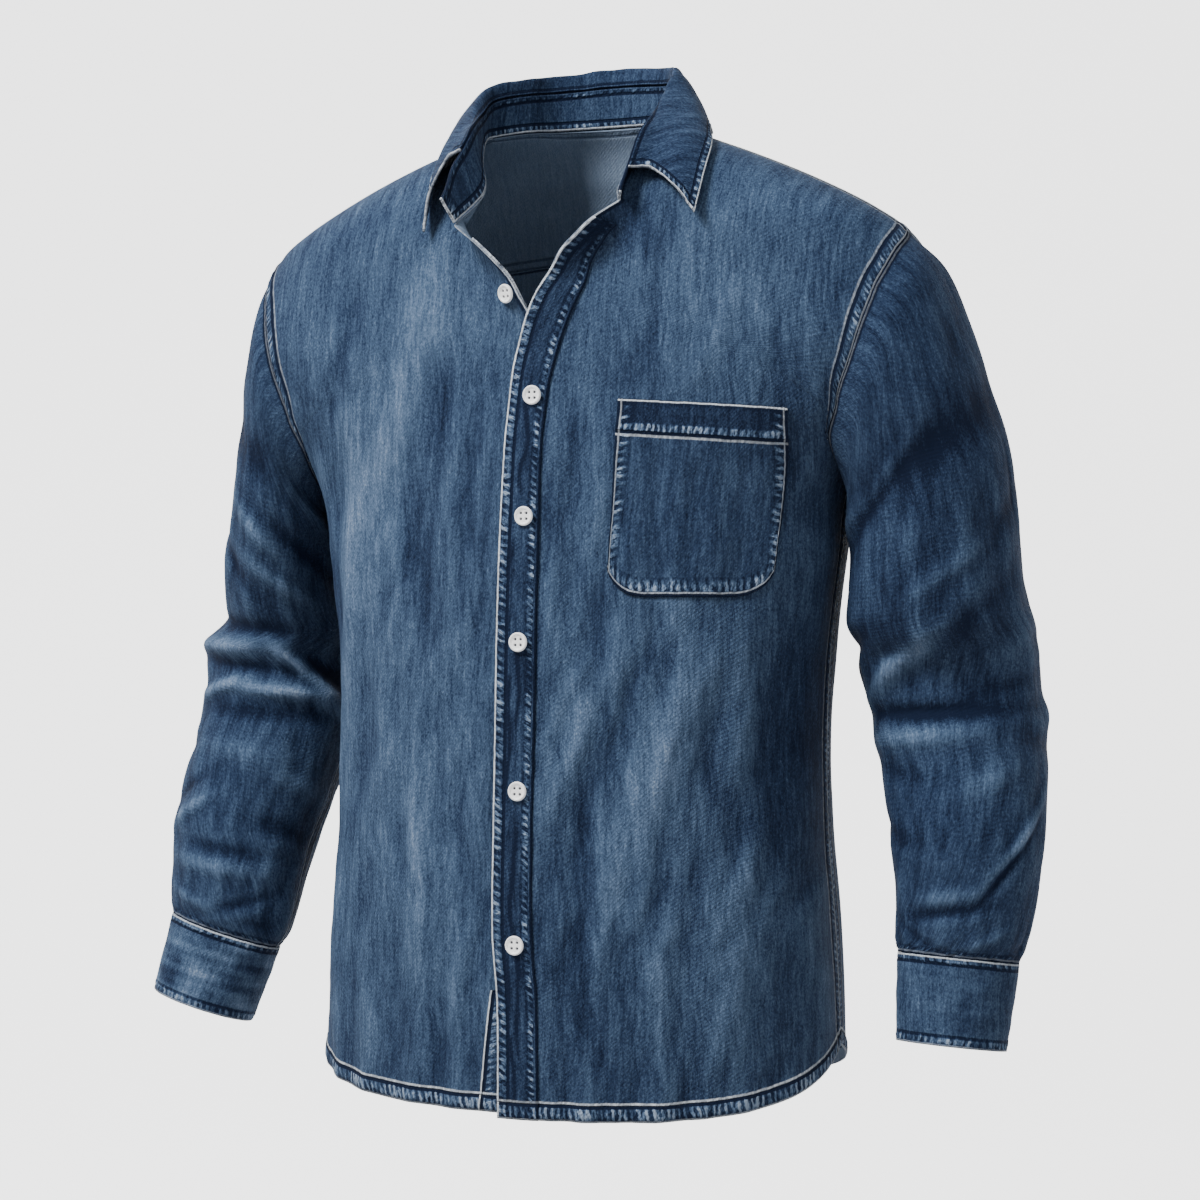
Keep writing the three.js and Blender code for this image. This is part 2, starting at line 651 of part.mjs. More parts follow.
// Collar stand: a band up from the neck seam, its front ends lowered and rounded.
function standPlace(across, up) {
  const station = mix(-7, 7, across);
  const { x, y, z, topX, topY, topZ } = track(COLLAR, station);
  const seam = point(x, y, z);
  const top = point(topX, topY, topZ);
  const rise = top.clone().sub(seam);
  const lift = STAND_LIFT / rise.length();
  const end = smooth(6.3, 7, Math.abs(station));
  return seam.addScaledVector(rise, mix(lift, 1 - 0.25 * end, up));
}

// Collar leaf: up from the stand's top edge, over the fold, and down outside to its own edge.
const LEAF_SECTION = table('part rise fall bulge', [
  [0, 0, 0, 0],
  [0.3, 1, 0, 0],
  [0.65, 1, 0.5, 1],
  [1, 1, 1, 0],
]);

function leafPlace(across, over) {
  const station = mix(-LEAF_END, LEAF_END, across);
  const seat = track(COLLAR, station);
  const top = point(seat.topX, seat.topY, seat.topZ);
  const fold = point(seat.foldX, seat.foldY, seat.foldZ);
  const edge = point(seat.edgeX, seat.edgeY, seat.edgeZ);
  const base = top.clone().sub(point(seat.x, seat.y, seat.z)).normalize();
  const { rise, fall, bulge } = track(LEAF_SECTION, over);
  return top.clone().addScaledVector(base, LEAF_LIFT).lerp(fold, rise).addScaledVector(edge.clone().sub(fold), fall)
    .add(point(seat.foldX * 0.04, (seat.foldY - 10) * 0.04, 1.5).multiplyScalar(bulge));
}

const LEFT_GRID = Array.from({ length: FRONT_ROWS + 1 }, (_, j) => Array.from({ length: FRONT_COLUMNS + 1 },
  (__, i) => frontGrid(1, i / FRONT_COLUMNS, j / FRONT_ROWS)));

// Pocket on the left front: the front's own surface, moved out, inside a shield with rounded lower corners.
function pocketPlace(across, down) {
  const side = across * 2 - 1;
  const halfWidth = mix(58.4, 54.6, down);
  const middle = mix(128, 119.5, down);
  const overCorner = 0.93 * Math.max(0, Math.abs(side) * halfWidth - (halfWidth - POCKET_CORNER));
  const corner = POCKET_CORNER - Math.sqrt(Math.max(0, POCKET_CORNER ** 2 - overCorner ** 2));
  const height = mix(-211 - 3.6 * (side + 1), -352 + corner, down);
  return onFacets(middle + side * halfWidth, height);
}

// The left front's own flat facets, so that what is sewn on it follows them.
function onFacets(x, z) {
  for (let j = 0; j < FRONT_ROWS; j += 1) {
    for (let i = STRIP_COLUMNS; i < FRONT_COLUMNS; i += 1) {
      const corner = (di, dj) => LEFT_GRID[j + dj][i + di];
      for (const [a, b, c] of [[corner(0, 0), corner(1, 0), corner(1, 1)], [corner(0, 0), corner(1, 1), corner(0, 1)]]) {
        const area = (b.x - a.x) * (c.z - a.z) - (c.x - a.x) * (b.z - a.z);
        const p = ((b.x - x) * (c.z - z) - (c.x - x) * (b.z - z)) / area;
        const q = ((c.x - x) * (a.z - z) - (a.x - x) * (c.z - z)) / area;
        const r = 1 - p - q;
        if (p > -1e-6 && q > -1e-6 && r > -1e-6) return point(x, p * a.y + q * b.y + r * c.y, z);
      }
    }
  }
  throw new Error('no cloth there');
}

function pocket() {
  const hem = POCKET_HEM / 141;
  const from = CLOTH + POCKET_GAP;
  const inner = (across) => from + POCKET_TURN * across ** 3;
  const outer = (across, down) => inner(across) + (down < hem ? CLOTH + 0.8 : CLOTH);
  piece('pocket', wall(14, 10, pocketPlace, inner, outer, { flip: true }), FADED);
}

// Buttons: a rimmed disc, turned about its own axis, laid on a place with its face square to the cloth there.
function button(name, place, away) {
  const profile = [
    [0, 0],
    [BUTTON_RADIUS - 1.2, 0],
    [BUTTON_RADIUS, 1],
    [BUTTON_RADIUS - 0.3, 2.5],
    [BUTTON_RADIUS - 1, BUTTON_HEIGHT],
    [BUTTON_RADIUS - 1.9, 2.6],
    [BUTTON_RADIUS - 2.6, 1.8],
    [0, 1.6],
  ].map(([radius, height]) => new THREE.Vector2(radius, height));
  const turned = new THREE.LatheGeometry(profile, 12);
  const merged = closed(...weld(turned));
  const mesh = piece(name, merged, SHELL_WHITE);
  mesh.quaternion.setFromUnitVectors(point(0, 1, 0), away.clone().normalize());
  mesh.position.copy(place);
}

// One vertex for each place of a turned shape, and no face without area.
function weld(geometry) {
  const seen = new Map();
  const vertices = [];
  const positions = geometry.getAttribute('position');
  const own = [];
  for (let i = 0; i < positions.count; i += 1) {
    const key = [positions.getX(i), positions.getY(i), positions.getZ(i)].map((c) => c.toFixed(4)).join();
    const plain = key.replaceAll('-0.0000', '0.0000');
    if (!seen.has(plain)) {
      seen.set(plain, vertices.length / 3);
      vertices.push(positions.getX(i), positions.getY(i), positions.getZ(i));
    }
    own.push(seen.get(plain));
  }
  const faces = [];
  const index = geometry.getIndex();
  for (let i = 0; i < index.count; i += 3) {
    const [a, b, c] = [0, 1, 2].map((k) => own[index.getX(i + k)]);
    if (a !== b && b !== c && c !== a) faces.push(a, b, c);
  }
  return [vertices, faces];
}

// A button on a surface that is given by two parts, some way out along its normal.
function seatButton(name, surface, u, v, out, flip) {
  const step = 0.004;
  const normal = surface(u + step, v).sub(surface(u - step, v))
    .cross(surface(u, v + step).sub(surface(u, v - step))).normalize();
  if (flip) normal.negate();
  button(name, surface(u, v).addScaledVector(normal, out), normal);
}

const FRONT_BUTTONS = table('button x height', [
  [1, 6, -207],
  [2, 3.7, -294],
  [3, 2.1, -384],
  [4, 2.8, -490],
  [5, 2.8, -599],
]);

function frontButtons() {
  const placketFace = 2 * LAYER_GAP + CLOTH + STRIP;
  for (const [number, x, height] of FRONT_BUTTONS.rows) {
    const place = onTorso(frontAngle(x, height), height);
    const away = outward(place);
    place.addScaledVector(away, OVERLAP_LIFT + placketFace + 0.5 + bodyFold(x, height));
    button(`button_${number}`, place, away);
  }
  const rightFront = (part, row) => frontPlace(-1, part, row);
  seatButton('button_neck', rightFront, 0.022, NECK_PART + 0.18 * (1 - NECK_PART), CLOTH + LAYER_GAP + 1.1, false);
  seatButton('button_collar', standPlace, 0.022, 0.45, BAND / 2 + LAYER_GAP, true);
}

function cuffButton(name, rings, side) {
  const frame = cuffFrame(rings, side);
  const place = (round, down) => cuffPlace(frame, round, down);
  seatButton(name, place, 0.87, 0.5, BAND - 0.3 + LAYER_GAP, side < 0);
}

front('front_right', -1);
front('front_left', 1);
back();
yoke();
edgeStrip('placket', 1, CLOTH + LAYER_GAP, CLOTH + LAYER_GAP + STRIP);
edgeStrip('button_stand', -1, -LAYER_GAP - STRIP, -LAYER_GAP);
sleeve('sleeve_left', SLEEVE_LEFT, SLEEVE_FOLDS_LEFT, 1);
sleeve('sleeve_right', SLEEVE_RIGHT, SLEEVE_FOLDS_RIGHT, -1);
cuff('cuff_left', SLEEVE_LEFT, 1);
cuff('cuff_right', SLEEVE_RIGHT, -1);
piece('collar_stand', wall(36, 2, standPlace, -BAND / 2, BAND / 2), FADED);
piece('collar_leaf', wall(32, 6, leafPlace, -BAND / 2, BAND / 2), FADED);
pocket();
frontButtons();
cuffButton('button_cuff_left', SLEEVE_LEFT, 1);
cuffButton('button_cuff_right', SLEEVE_RIGHT, -1);

export default shirt;
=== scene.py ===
"""A long-sleeved denim shirt in its worn, hollow form: the cloth, seams, creases, buttons and their finish.

Lengths are millimetres until a mesh is made. X runs to the wearer's left, -Y is the front, +Z is up.
"""

import math

import bpy
import numpy as np
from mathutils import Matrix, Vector


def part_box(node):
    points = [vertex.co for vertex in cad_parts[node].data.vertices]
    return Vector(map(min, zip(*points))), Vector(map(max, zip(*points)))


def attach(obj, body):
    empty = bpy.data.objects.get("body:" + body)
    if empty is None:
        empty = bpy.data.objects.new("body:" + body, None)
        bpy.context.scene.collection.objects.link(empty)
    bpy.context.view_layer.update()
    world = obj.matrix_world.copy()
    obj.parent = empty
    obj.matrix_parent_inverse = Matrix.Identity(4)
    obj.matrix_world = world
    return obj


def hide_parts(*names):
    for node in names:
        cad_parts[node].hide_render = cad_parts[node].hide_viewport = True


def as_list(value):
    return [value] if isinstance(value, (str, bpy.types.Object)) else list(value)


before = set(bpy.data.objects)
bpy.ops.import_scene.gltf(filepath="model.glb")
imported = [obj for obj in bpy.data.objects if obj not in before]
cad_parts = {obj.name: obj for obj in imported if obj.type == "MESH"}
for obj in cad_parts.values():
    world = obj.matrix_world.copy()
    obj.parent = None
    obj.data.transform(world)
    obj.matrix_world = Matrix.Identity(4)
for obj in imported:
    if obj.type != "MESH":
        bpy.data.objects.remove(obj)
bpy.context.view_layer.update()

# Sizes of the shirt
SIDE_SEAM_TOP = -276
SIDE_SEAM_END = -678
HEM_LEFT = -722
HEM_RIGHT = -719
HEM_BACK = -738
YOKE_BACK = -83
YOKE_AT_ARMHOLE = 0.3
YOKE_NECK = 3.15
SQUARENESS = 0.045
CLOTH = 1.0
PLACKET_WIDTH = 31
OVERLAP_LIFT = 2.0
NECK_PART = 4 / 27
ARMHOLE_PART = 10 / 27
STRIP_TOP = 5 / 27
LAST_RING = 13
CUFF_LENGTH = 61
HEM_BAND = 11
FELLED_BAND = 9
BUTTON_RADIUS = 7
BUTTON_HEIGHT = 3
POCKET_HEM = 24
POCKET_CORNER = 26
LAP_TOP = -629
LAP_END = -720

# The photo's camera: its turn to the wearer's left, focal length and photo width in pixels, and sensor width
VIEW_TURN = math.radians(22)
FOCAL = 2646
PHOTO_WIDTH = 1200
SENSOR = 36

# Level sections of the torso: height, half width, front, back, middle
TORSO = [
    [20, 48, -10, 66, 6],
    [0, 76, -25, 80, 6],
    [-12, 102, -48, 86, 6],
    [-25, 135, -62, 91, 6],
    [-40, 170, -72, 98, 6],
    [-55, 201, -79, 103, 7],
    [-70, 228, -84, 109, 7],
    [-86, 250, -88, 113, 8],
    [-125, 274, -93, 121, 8],
    [-166, 284, -98, 126, 7],
    [-213, 254, -103, 126, 5],
    [-240, 228, -107, 124, 5],
    [-275, 209, -110, 121, 5],
    [-320, 202, -114, 116, 5],
    [-384, 194, -118, 112, 5],
    [-450, 190.5, -120, 111, 5],
    [-520, 191.5, -122, 113, 5],
    [-600, 197.5, -126, 117, 5],
    [-680, 201, -129, 120, 5],
    [-760, 202, -131, 122, 5],
]

# Armholes: part of the way from the shoulder to the underarm, angle round the torso, and height
ARMHOLE_FRONT = [
    [0, 86, -88.5],
    [0.12, 70, -104],
    [0.23, 60, -125],
    [0.33, 54.5, -146],
    [0.42, 52, -166],
    [0.54, 53, -193],
    [0.63, 55.5, -213],
    [0.74, 62, -239],
    [0.88, 75, -262],
    [1, 90, SIDE_SEAM_TOP],
]
ARMHOLE_BACK = [
    [0, 86, -88.5],
    [0.12, 100, -106],
    [0.28, 114, -130],
    [0.4, 119, -158],
    [0.53, 121, -190],
    [0.64, 118.5, -216],
    [0.75, 112, -240],
    [0.88, 102, -263],
    [1, 90, SIDE_SEAM_TOP],
]

# Collar stations from the wearer's right front end round to the left, each with four places:
# the neck seam, the stand's top, the fold and the leaf's outer edge
COLLAR = [
    [-7, -54, -110, -82, -64, -123, -58, -82, -104, -52, -88, -98, -92],
    [-6, -45, -78, -56, -58, -92, -26, -70, -90, -30, -88, -92, -83],
    [-5, -54, -62, -31, -57, -72, -5, -70, -64, -7, -94, -66, -41],
    [-4, -67, -28, -9, -69, -29, 12, -76, -31, 17, -95, -34, -11],
    [-3, -73, 5, 0, -74, 4, 28, -79, 4, 39, -103, 0, -4],
    [-2, -57, 33, 7, -58, 34, 37, -60, 38, 50, -86, 50, 0],
    [-1, -40, 58, 11, -42, 60, 42, -44, 66, 56, -58, 90, 5],
    [0, 0, 71, 13, 0, 74, 46, 0, 80, 61, 0, 104, 8],
    [1, 40, 58, 11, 42, 60, 42, 44, 66, 56, 58, 90, 5],
    [2, 57, 33, 7, 58, 34, 37, 60, 38, 50, 86, 50, 0],
    [3, 73, 5, 0, 71, 6, 29, 72, 9, 41, 103, -2, -4],
    [4, 71, -26, -9, 71, -28, 6, 76, -30, 9, 119, -42, -24],
    [5, 66, -58, -30, 71, -62, -15, 82, -58, -18, 123, -68, -47],
    [6, 61, -78, -57, 71, -87, -45, 86, -79, -45, 123, -90, -80],
    [7, 66, -92, -68, 72, -103, -62, 92, -90, -62, 124, -100, -92],
]

# Free edges of the fronts: part of the way down, x and height of the root, and how far the edge
# is drawn away along x, y and z
LEFT_EDGE = [
    [0, 62, -66, 4, -11, -2],
    [0.05, 49, -80, 1, -21, -2],
    [0.1, 37, -92, 1, -20, -1],
    [0.15, 26, -103, 1, -17, 0],
    [0.2, 17, -116, 1, -12, 0],
    [0.25, 8, -130, 0, -9, 0],
    [0.3, 0, -147, 0, -6, 0],
    [0.35, -6, -166, 0, -2, 0],
    [0.41, -12, -195, 0, 0, 0],
    [0.51, -15.5, -270, 0, 0, 0],
    [0.68, -16.5, -425, 0, 0, 0],
    [0.84, -16.5, -585, 0, 0, 0],
    [0.9, -11.5, -640, 0, 0, 0],
    [1, -9.8, HEM_LEFT, 0, 0, 0],
]
RIGHT_EDGE = [
    [0, -42, -70, -12, -30, -12],
    [0.05, -32, -92, -6, -24, -3],
    [0.1, -22, -106, -2, -21, -2],
    [0.15, -13, -120, 0, -14, -1],
    [0.2, -6, -135, 0, -8, 0],
    [0.25, 1, -149, 0, -2, 0],
    [0.3, 8, -163, 0, 0, 0],
    [0.35, 13, -181, 0, 0, 0],
    [0.41, 15, -205, 0, 0, 0],
    [0.7, 15, -445, 0, 0, 0],
    [1, 15, HEM_RIGHT, 0, 0, 0],
]

# Sleeve rings: ring, x, y, z, half width, half depth, roll, lean, swing
SLEEVE_LEFT = [
    [1, 244.5, 5, -200.5, 89.2, 70, 69.3, 0, 14],
    [2, 257, 8, -238.5, 71, 70, 50, 0, 8],
    [3, 267, 14, -284, 62, 69, 24, -5, 3],
    [4, 270, 13, -330, 61.5, 69, 10, -10, 0],
    [5, 271.5, 17, -365, 64, 68, 6, -8, 0],
    [6, 275, 33, -393, 65.5, 66, 8, 0, 0],
    [7, 280, 33, -425, 62, 62, 8, 10, 0],
    [8, 287, 25, -456, 60.5, 60, 8, 9, 0],
    [9, 293, 14, -488, 58, 57, 7, 9, 0],
    [10, 297, 1, -522, 55, 54, 5, 8, 0],
    [11, 300, -12, -560, 49.5, 48, 2, 8, 0],
    [12, 299, -22, -592, 45, 41, -1, 8, 0],
    [13, 297.5, -26, -606, 41.5, 34, -3, 8, 0],
]
SLEEVE_RIGHT = [
    [1, 238.2, 5, -200.5, 87.3, 70, 73.1, 0, 17],
    [2, 245, 8, -240, 61.8, 70, 57.3, 0, 11],
    [3, 251, 14, -283, 47, 69, 29.3, -5, 4],
    [4, 259, 22, -328, 48, 68, 10, -10, 0],
    [5, 262, 33, -367, 52, 66, 6, -8, 0],
    [6, 273, 38, -395, 61.5, 66, 6, 0, 0],
    [7, 273, 33, -430, 60, 62, 5, 10, 0],
    [8, 276, 24, -461, 61, 60, 5, 9, 0],
    [9, 279.5, 13, -492, 60, 58, 6, 9, 0],
    [10, 285.5, 0, -527, 57, 54, 7, 8, 0],
    [11, 287.5, -12, -562, 53.5, 48, 9, 8, 0],
    [12, 289.5, -22, -598, 49.5, 41, 13, 8, 0],
    [13, 292, -26, -613, 44, 34, 16, 8, 0],
]

# Creases of the fronts: x and height of each end, sideways bow, width, and rise (a trough is negative)
CREASES_FRONT = [
    [82, -375, 22, -520, 4, 13, 3.6],
    [150, -372, 62, -585, 6, 17, 3.2],
    [186, -360, 150, -560, 0, 15, -2.8],
    [-88, -110, -122, -262, -8, 15, 3.0],
    [-136, -250, -160, -470, 5, 11, 3.6],
    [-60, -160, -84, -400, 6, 17, -2.6],
    [-112, -430, -70, -640, 0, 18, 2.6],
    [196, -300, 172, -440, 0, 13, 3.0],
    [60, -385, 16, -470, 3, 5, 1.2],
    [104, -362, 40, -560, 5, 6, -1.5],
    [120, -380, 84, -640, 4, 7, 1.3],
    [134, -420, 110, -690, -5, 9, -1.4],
    [172, -450, 150, -690, 4, 8, 1.5],
    [96, -560, 112, -710, 4, 8, 1.4],
    [46, -470, 52, -690, -3, 9, -1.2],
    [28, -300, 22, -430, 2, 4, 0.9],
    [40, -230, 30, -380, 3, 6, -0.9],
    [150, -120, 118, -205, -6, 9, 1.6],
    [180, -150, 196, -300, 6, 8, -1.6],
    [100, -70, 84, -200, -4, 9, -1.3],
    [60, -120, 44, -230, 3, 7, 1.1],
    [205, -240, 178, -330, 5, 6, 1.6],
    [-30, -150, -40, -330, 4, 7, -1.1],
    [-44, -200, -58, -420, 4, 7, 1.2],
    [-100, -260, -112, -480, -5, 7, -1.7],
    [-176, -260, -188, -420, 3, 8, -1.8],
    [-150, -110, -176, -230, -6, 9, -1.7],
    [-188, -235, -168, -330, 4, 6, 1.5],
    [-92, -480, -96, -690, 5, 8, -1.5],
    [-40, -430, -46, -640, -4, 8, 1.1],
    [-60, -560, -66, -715, 2, 8, -1.0],
    [-140, -500, -128, -700, 5, 10, 1.7],
    [-172, -430, -166, -640, -4, 9, 1.4],
    [-26, -500, -30, -700, 2, 5, 0.7],
    [-70, -90, -66, -190, 4, 8, 1.2],
]
CREASES_BACK = [
    [-120, -140, -70, -330, 8, 15, -2.6],
    [118, -138, 82, -340, -7, 15, -2.4],
    [-96, -120, -30, -260, 6, 9, 1.6],
    [104, -118, 42, -250, -6, 9, 1.5],
    [-190, -290, -60, -430, 10, 12, 2.4],
    [186, -300, 70, -445, -9, 12, 2.2],
    [-170, -380, -30, -470, 8, 9, -1.8],
    [176, -392, 34, -490, -8, 9, -1.9],
    [-40, -300, -52, -600, -6, 16, 2.0],
    [46, -340, 58, -650, 7, 16, 2.1],
    [4, -200, -4, -560, 4, 18, -2.2],
    [-110, -470, -120, -710, 4, 12, 2.2],
    [118, -480, 110, -715, -5, 12, 1.9],
    [-84, -520, -88, -720, 3, 8, -1.5],
    [80, -540, 92, -722, -3, 8, -1.5],
    [-158, -480, -160, -680, 3, 9, -1.6],
    [160, -470, 152, -690, -3, 9, 1.6],
    [10, -560, 20, -735, 3, 9, 1.4],
    [-24, -600, -20, -736, -3, 8, -1.2],
]

# Creases of the sleeves: centre angle and height, how its height changes with the angle, reach round the arm,
# width, and rise. Angle 0 is outside, 90 in front, 180 inside, 270 behind.
CREASES_LEFT = [
    [105, -398, 0.62, 42, 9, 4.6],
    [160, -388, 0.3, 34, 10, -5],
    [60, -372, 0.75, 30, 9, -3],
    [100, -434, 0.05, 58, 7, -4.2],
    [110, -451, 0.1, 42, 8, 3.2],
    [32, -520, 1.1, 26, 7, 2.4],
    [48, -545, 1.0, 24, 7, -2.0],
    [95, -571, 0.12, 32, 5, -2.4],
    [92, -560, 0.12, 30, 6, 1.5],
    [70, -250, 0.6, 70, 20, -3],
    [130, -476, -0.12, 34, 9, -1.8],
    [60, -480, 0.4, 30, 10, 1.6],
    [150, -520, -0.3, 50, 10, -2.2],
    [40, -415, 0.25, 34, 8, -1.8],
    [120, -532, -0.2, 42, 8, 1.5],
    [60, -592, 0.3, 28, 5, 1.4],
    [120, -590, -0.35, 30, 5, -1.4],
    [150, -300, 0.5, 40, 9, 2.0],
    [118, -290, 0.9, 26, 8, -1.9],
    [96, -262, 1.1, 22, 8, 1.7],
    [60, -330, 0.7, 40, 9, 1.7],
    [20, -380, 0.5, 34, 9, 1.5],
    [20, -300, 0.9, 34, 12, -1.8],
    [0, -458, -0.3, 40, 9, -2.0],
    [330, -430, 0.3, 40, 9, 2.2],
    [300, -400, -0.3, 60, 11, -3.4],
    [280, -430, 0.15, 50, 8, 2.0],
    [260, -370, 0.3, 50, 9, -2.2],
    [300, -480, -0.35, 46, 9, 2.0],
    [250, -520, 0.3, 50, 10, -2.4],
    [290, -570, -0.3, 34, 6, -1.5],
    [270, -290, -0.6, 40, 12, -2.2],
    [10, -598, 0.1, 26, 5, -1.3],
    [85, -604, 0.0, 12, 4, -1.5],
    [135, -600, 0.1, 18, 5, -1.3],
    [230, -600, 0.0, 24, 5, -1.3],
]
CREASES_RIGHT = [
    [62, -389, 0.05, 42, 7, 4.2],
    [132, -409, 0.8, 30, 7, 4.0],
    [80, -375, 0.12, 44, 7, -3.4],
    [88, -406, 0.12, 44, 6, -3.4],
    [60, -424, -0.3, 27, 6, 3.4],
    [115, -425, 0.12, 40, 6, 4.0],
    [166, -443, 0.4, 30, 7, 3.2],
    [164, -419, 0.6, 26, 9, -5],
    [100, -442, 0.1, 50, 8, -2.6],
    [60, -518, -0.5, 24, 7, 2.6],
    [50, -502, -0.5, 26, 7, -1.8],
    [90, -560, 0.15, 42, 7, 2.2],
    [100, -548, 0.15, 40, 6, -1.8],
    [70, -585, 0.3, 28, 5, 1.6],
    [60, -598, 0.2, 22, 5, -1.3],
    [120, -590, -0.2, 28, 6, -1.6],
    [150, -500, 0.4, 34, 8, 1.8],
    [150, -535, 0.3, 34, 8, -1.8],
    [90, -470, 0.2, 46, 9, 1.6],
    [30, -470, -0.3, 30, 8, -1.6],
    [80, -240, 0.6, 70, 20, -3],
    [90, -300, 0.8, 30, 8, 2.0],
    [60, -320, 0.9, 28, 9, -2.0],
    [112, -340, 0.6, 34, 8, 1.9],
    [130, -312, 0.7, 34, 9, -2.2],
    [140, -280, 0.8, 26, 8, 1.8],
    [20, -300, 0.7, 34, 10, 1.6],
    [0, -460, -0.3, 40, 9, -2.0],
    [330, -430, 0.3, 40, 9, 2.2],
    [280, -400, -0.3, 60, 11, -3.2],
    [300, -430, 0.15, 50, 8, 2.0],
    [250, -380, 0.3, 50, 9, -2.2],
    [285, -480, -0.35, 46, 9, 2.0],
    [255, -525, 0.3, 50, 10, -2.3],
    [290, -580, -0.3, 34, 6, -1.5],
    [270, -290, -0.6, 40, 12, -2.2],
    [20, -608, 0.1, 24, 5, -1.2],
    [85, -610, 0.0, 14, 4, -1.4],
    [140, -606, 0.1, 18, 5, -1.3],
    [240, -606, 0.0, 24, 5, -1.3],
]

# Faded places of the body, and painted shade on the front: x, height, half width, half height, and how pale
# (darker below 0)
FADES_AND_SHADE_FRONT = [
    [-145, -258, 36, 66, 0.6],
    [-118, -330, 40, 90, 0.35],
    [-60, -110, 60, 60, 0.25],
    [160, -612, 44, 70, 0.65],
    [130, -480, 50, 90, 0.3],
    [60, -640, 50, 80, -0.4],
    [124, -690, 60, 40, -0.4],
    [-70, -560, 60, 120, 0.3],
    [130, -120, 70, 60, 0.5],
    [-110, -190, 70, 100, 0.35],
    [178, -200, 24, 60, 0.2],
    [-90, -430, 60, 90, 0.25],
    [30, -300, 20, 90, 0.15],
    # painted shade on the wearer's right flank
    [-190, -380, 22, 120, -0.3],
    # painted shade down the wearer's left flank, the side away from the key lamp
    [204, -440, 34, 200, -1.1],
    [120, -260, 120, 70, -0.12],
    [-20, -690, 60, 40, -0.2],
    # painted shadow under the collar's roll
    [54, -86, 36, 22, -1.0],
]
FADES_BACK = [
    [0, -180, 110, 70, 0.45],
    [-80, -420, 60, 130, 0.35],
    [90, -440, 60, 130, 0.35],
    [0, -660, 130, 60, 0.3],
    [0, -330, 60, 60, -0.15],
]

# How each piece was cut: slot, width, length and area in metres (None for a rectangle), how it is held
# and what it rests on
CUTS = {
    "front_right": ("denim", 0.317, 0.812, 0.1887, "hung", ["yoke", "collar_stand"]),
    "front_left": ("denim", 0.320, 0.807, 0.1886, "hung", ["yoke", "collar_stand"]),
    "back": ("denim", 0.550, 0.658, 0.3148, "hung", ["yoke"]),
    "yoke": ("denim", 0.623, 0.158, 0.0697, "draped", ["collar_stand"]),
    "placket": ("denim_trim", 0.031, 0.665, None, "hung", ["front_left"]),
    "button_stand": ("denim_trim", 0.031, 0.646, None, "hung", ["front_right"]),
    "sleeve_left": ("denim", 0.508, 0.556, 0.1699, "hung", ["front_left", "back", "yoke"]),
    "sleeve_right": ("denim", 0.506, 0.543, 0.1631, "hung", ["front_right", "back", "yoke"]),
    "cuff_left": ("denim_trim", 0.238, 0.061, None, "hung", ["sleeve_left"]),
    "cuff_right": ("denim_trim", 0.246, 0.061, None, "hung", ["sleeve_right"]),
    "collar_stand": ("denim_trim", 0.525, 0.034, 0.0121, "folded", ["yoke"]),
    "collar_leaf": ("denim_trim", 0.581, 0.075, 0.0314, "folded", ["collar_stand"]),
    "pocket": ("denim_trim", 0.138, 0.140, 0.0166, "hung", ["front_left"]),
}

# The places of each piece of cloth, kept for the buttons over it
grids = {}


def smooth(low, high, at):
    """0 below low, 1 above high, an S-shaped cubic between."""
    part = np.clip((np.asarray(at, float) - low) / (high - low), 0, 1)
    return part * part * (3 - 2 * part)


def mix(first, second, part):
    """Part of the way from first to second."""
    return first + (second - first) * part


def track(rows, at):
    """A cubic through a table's rows over its first column. The slope at a row is the step between its two
    neighbours over their distance."""
    rows = np.asarray(rows, float)
    if rows[0, 0] > rows[-1, 0]:
        rows = rows[::-1]
    knots = rows[:, 0]
    count = np.arange(len(rows))
    before = rows[np.maximum(count - 1, 0)]
    after = rows[np.minimum(count + 1, len(rows) - 1)]
    slope = (after - before) / (after[:, :1] - before[:, :1])
    at = np.clip(np.asarray(at, float), knots[0], knots[-1])
    i = np.clip(np.searchsorted(knots, at, side="right") - 1, 0, len(rows) - 2)
    step = (knots[i + 1] - knots[i])[..., None]
    u = (at - knots[i])[..., None] / step
    return (
        rows[i, 1:] * (1 + 2 * u) * (1 - u) ** 2
        + slope[i, 1:] * step * u * (1 - u) ** 2
        + rows[i + 1, 1:] * u * u * (3 - 2 * u)
        + slope[i + 1, 1:] * step * u * u * (u - 1)
    )


def section(height):
    """Half width, middle, and depth towards the front and towards the back, at a height."""
    half, front, back, middle = np.moveaxis(track(TORSO, height), -1, 0)
    return half, middle, middle - front, back - middle


def on_torso(angle, height):
    """A squared ellipse: half width times sine, and middle less depth times cosine, at a height. Both are
    swollen by the squared sine of twice the angle."""
    half, middle, forward, behind = section(height)
    turn = np.radians(angle)
    bulge = 1 + SQUARENESS * np.sin(2 * turn) ** 2
    depth = np.where(np.cos(turn) > 0, forward, behind)
    x = half * np.sin(turn) * bulge
    y = middle - depth * np.cos(turn) * bulge
    return np.stack(np.broadcast_arrays(x, y, np.asarray(height, float)), -1)


def reach(x, y, height):
    """How far out a place lies as a share of the torso's section: 1 on the cloth."""
    half, middle, forward, behind = section(height)
    depth = np.where(y < middle, forward, behind)
    turn = np.arctan2(x / half, (middle - y) / depth)
    return np.hypot(x / half, (y - middle) / depth) / (1 + SQUARENESS * np.sin(2 * turn) ** 2)


def angle_through(x, y, height):
    """The angle round the torso on which a place lies."""
    half, middle, forward, behind = section(height)
    depth = np.where(y < middle, forward, behind)
    return np.degrees(np.arctan2(x / half, (middle - y) / depth))


def front_angle(x, height):
    """The angle at which the front lies x from the centre, found by halving."""
    low = np.full(np.shape(x), -90.0)
    high = np.full(np.shape(x), 90.0)
    for _ in range(36):
        middle = (low + high) / 2
        short = on_torso(middle, height)[..., 0] < x
        low = np.where(short, middle, low)
        high = np.where(short, high, middle)
    return (low + high) / 2


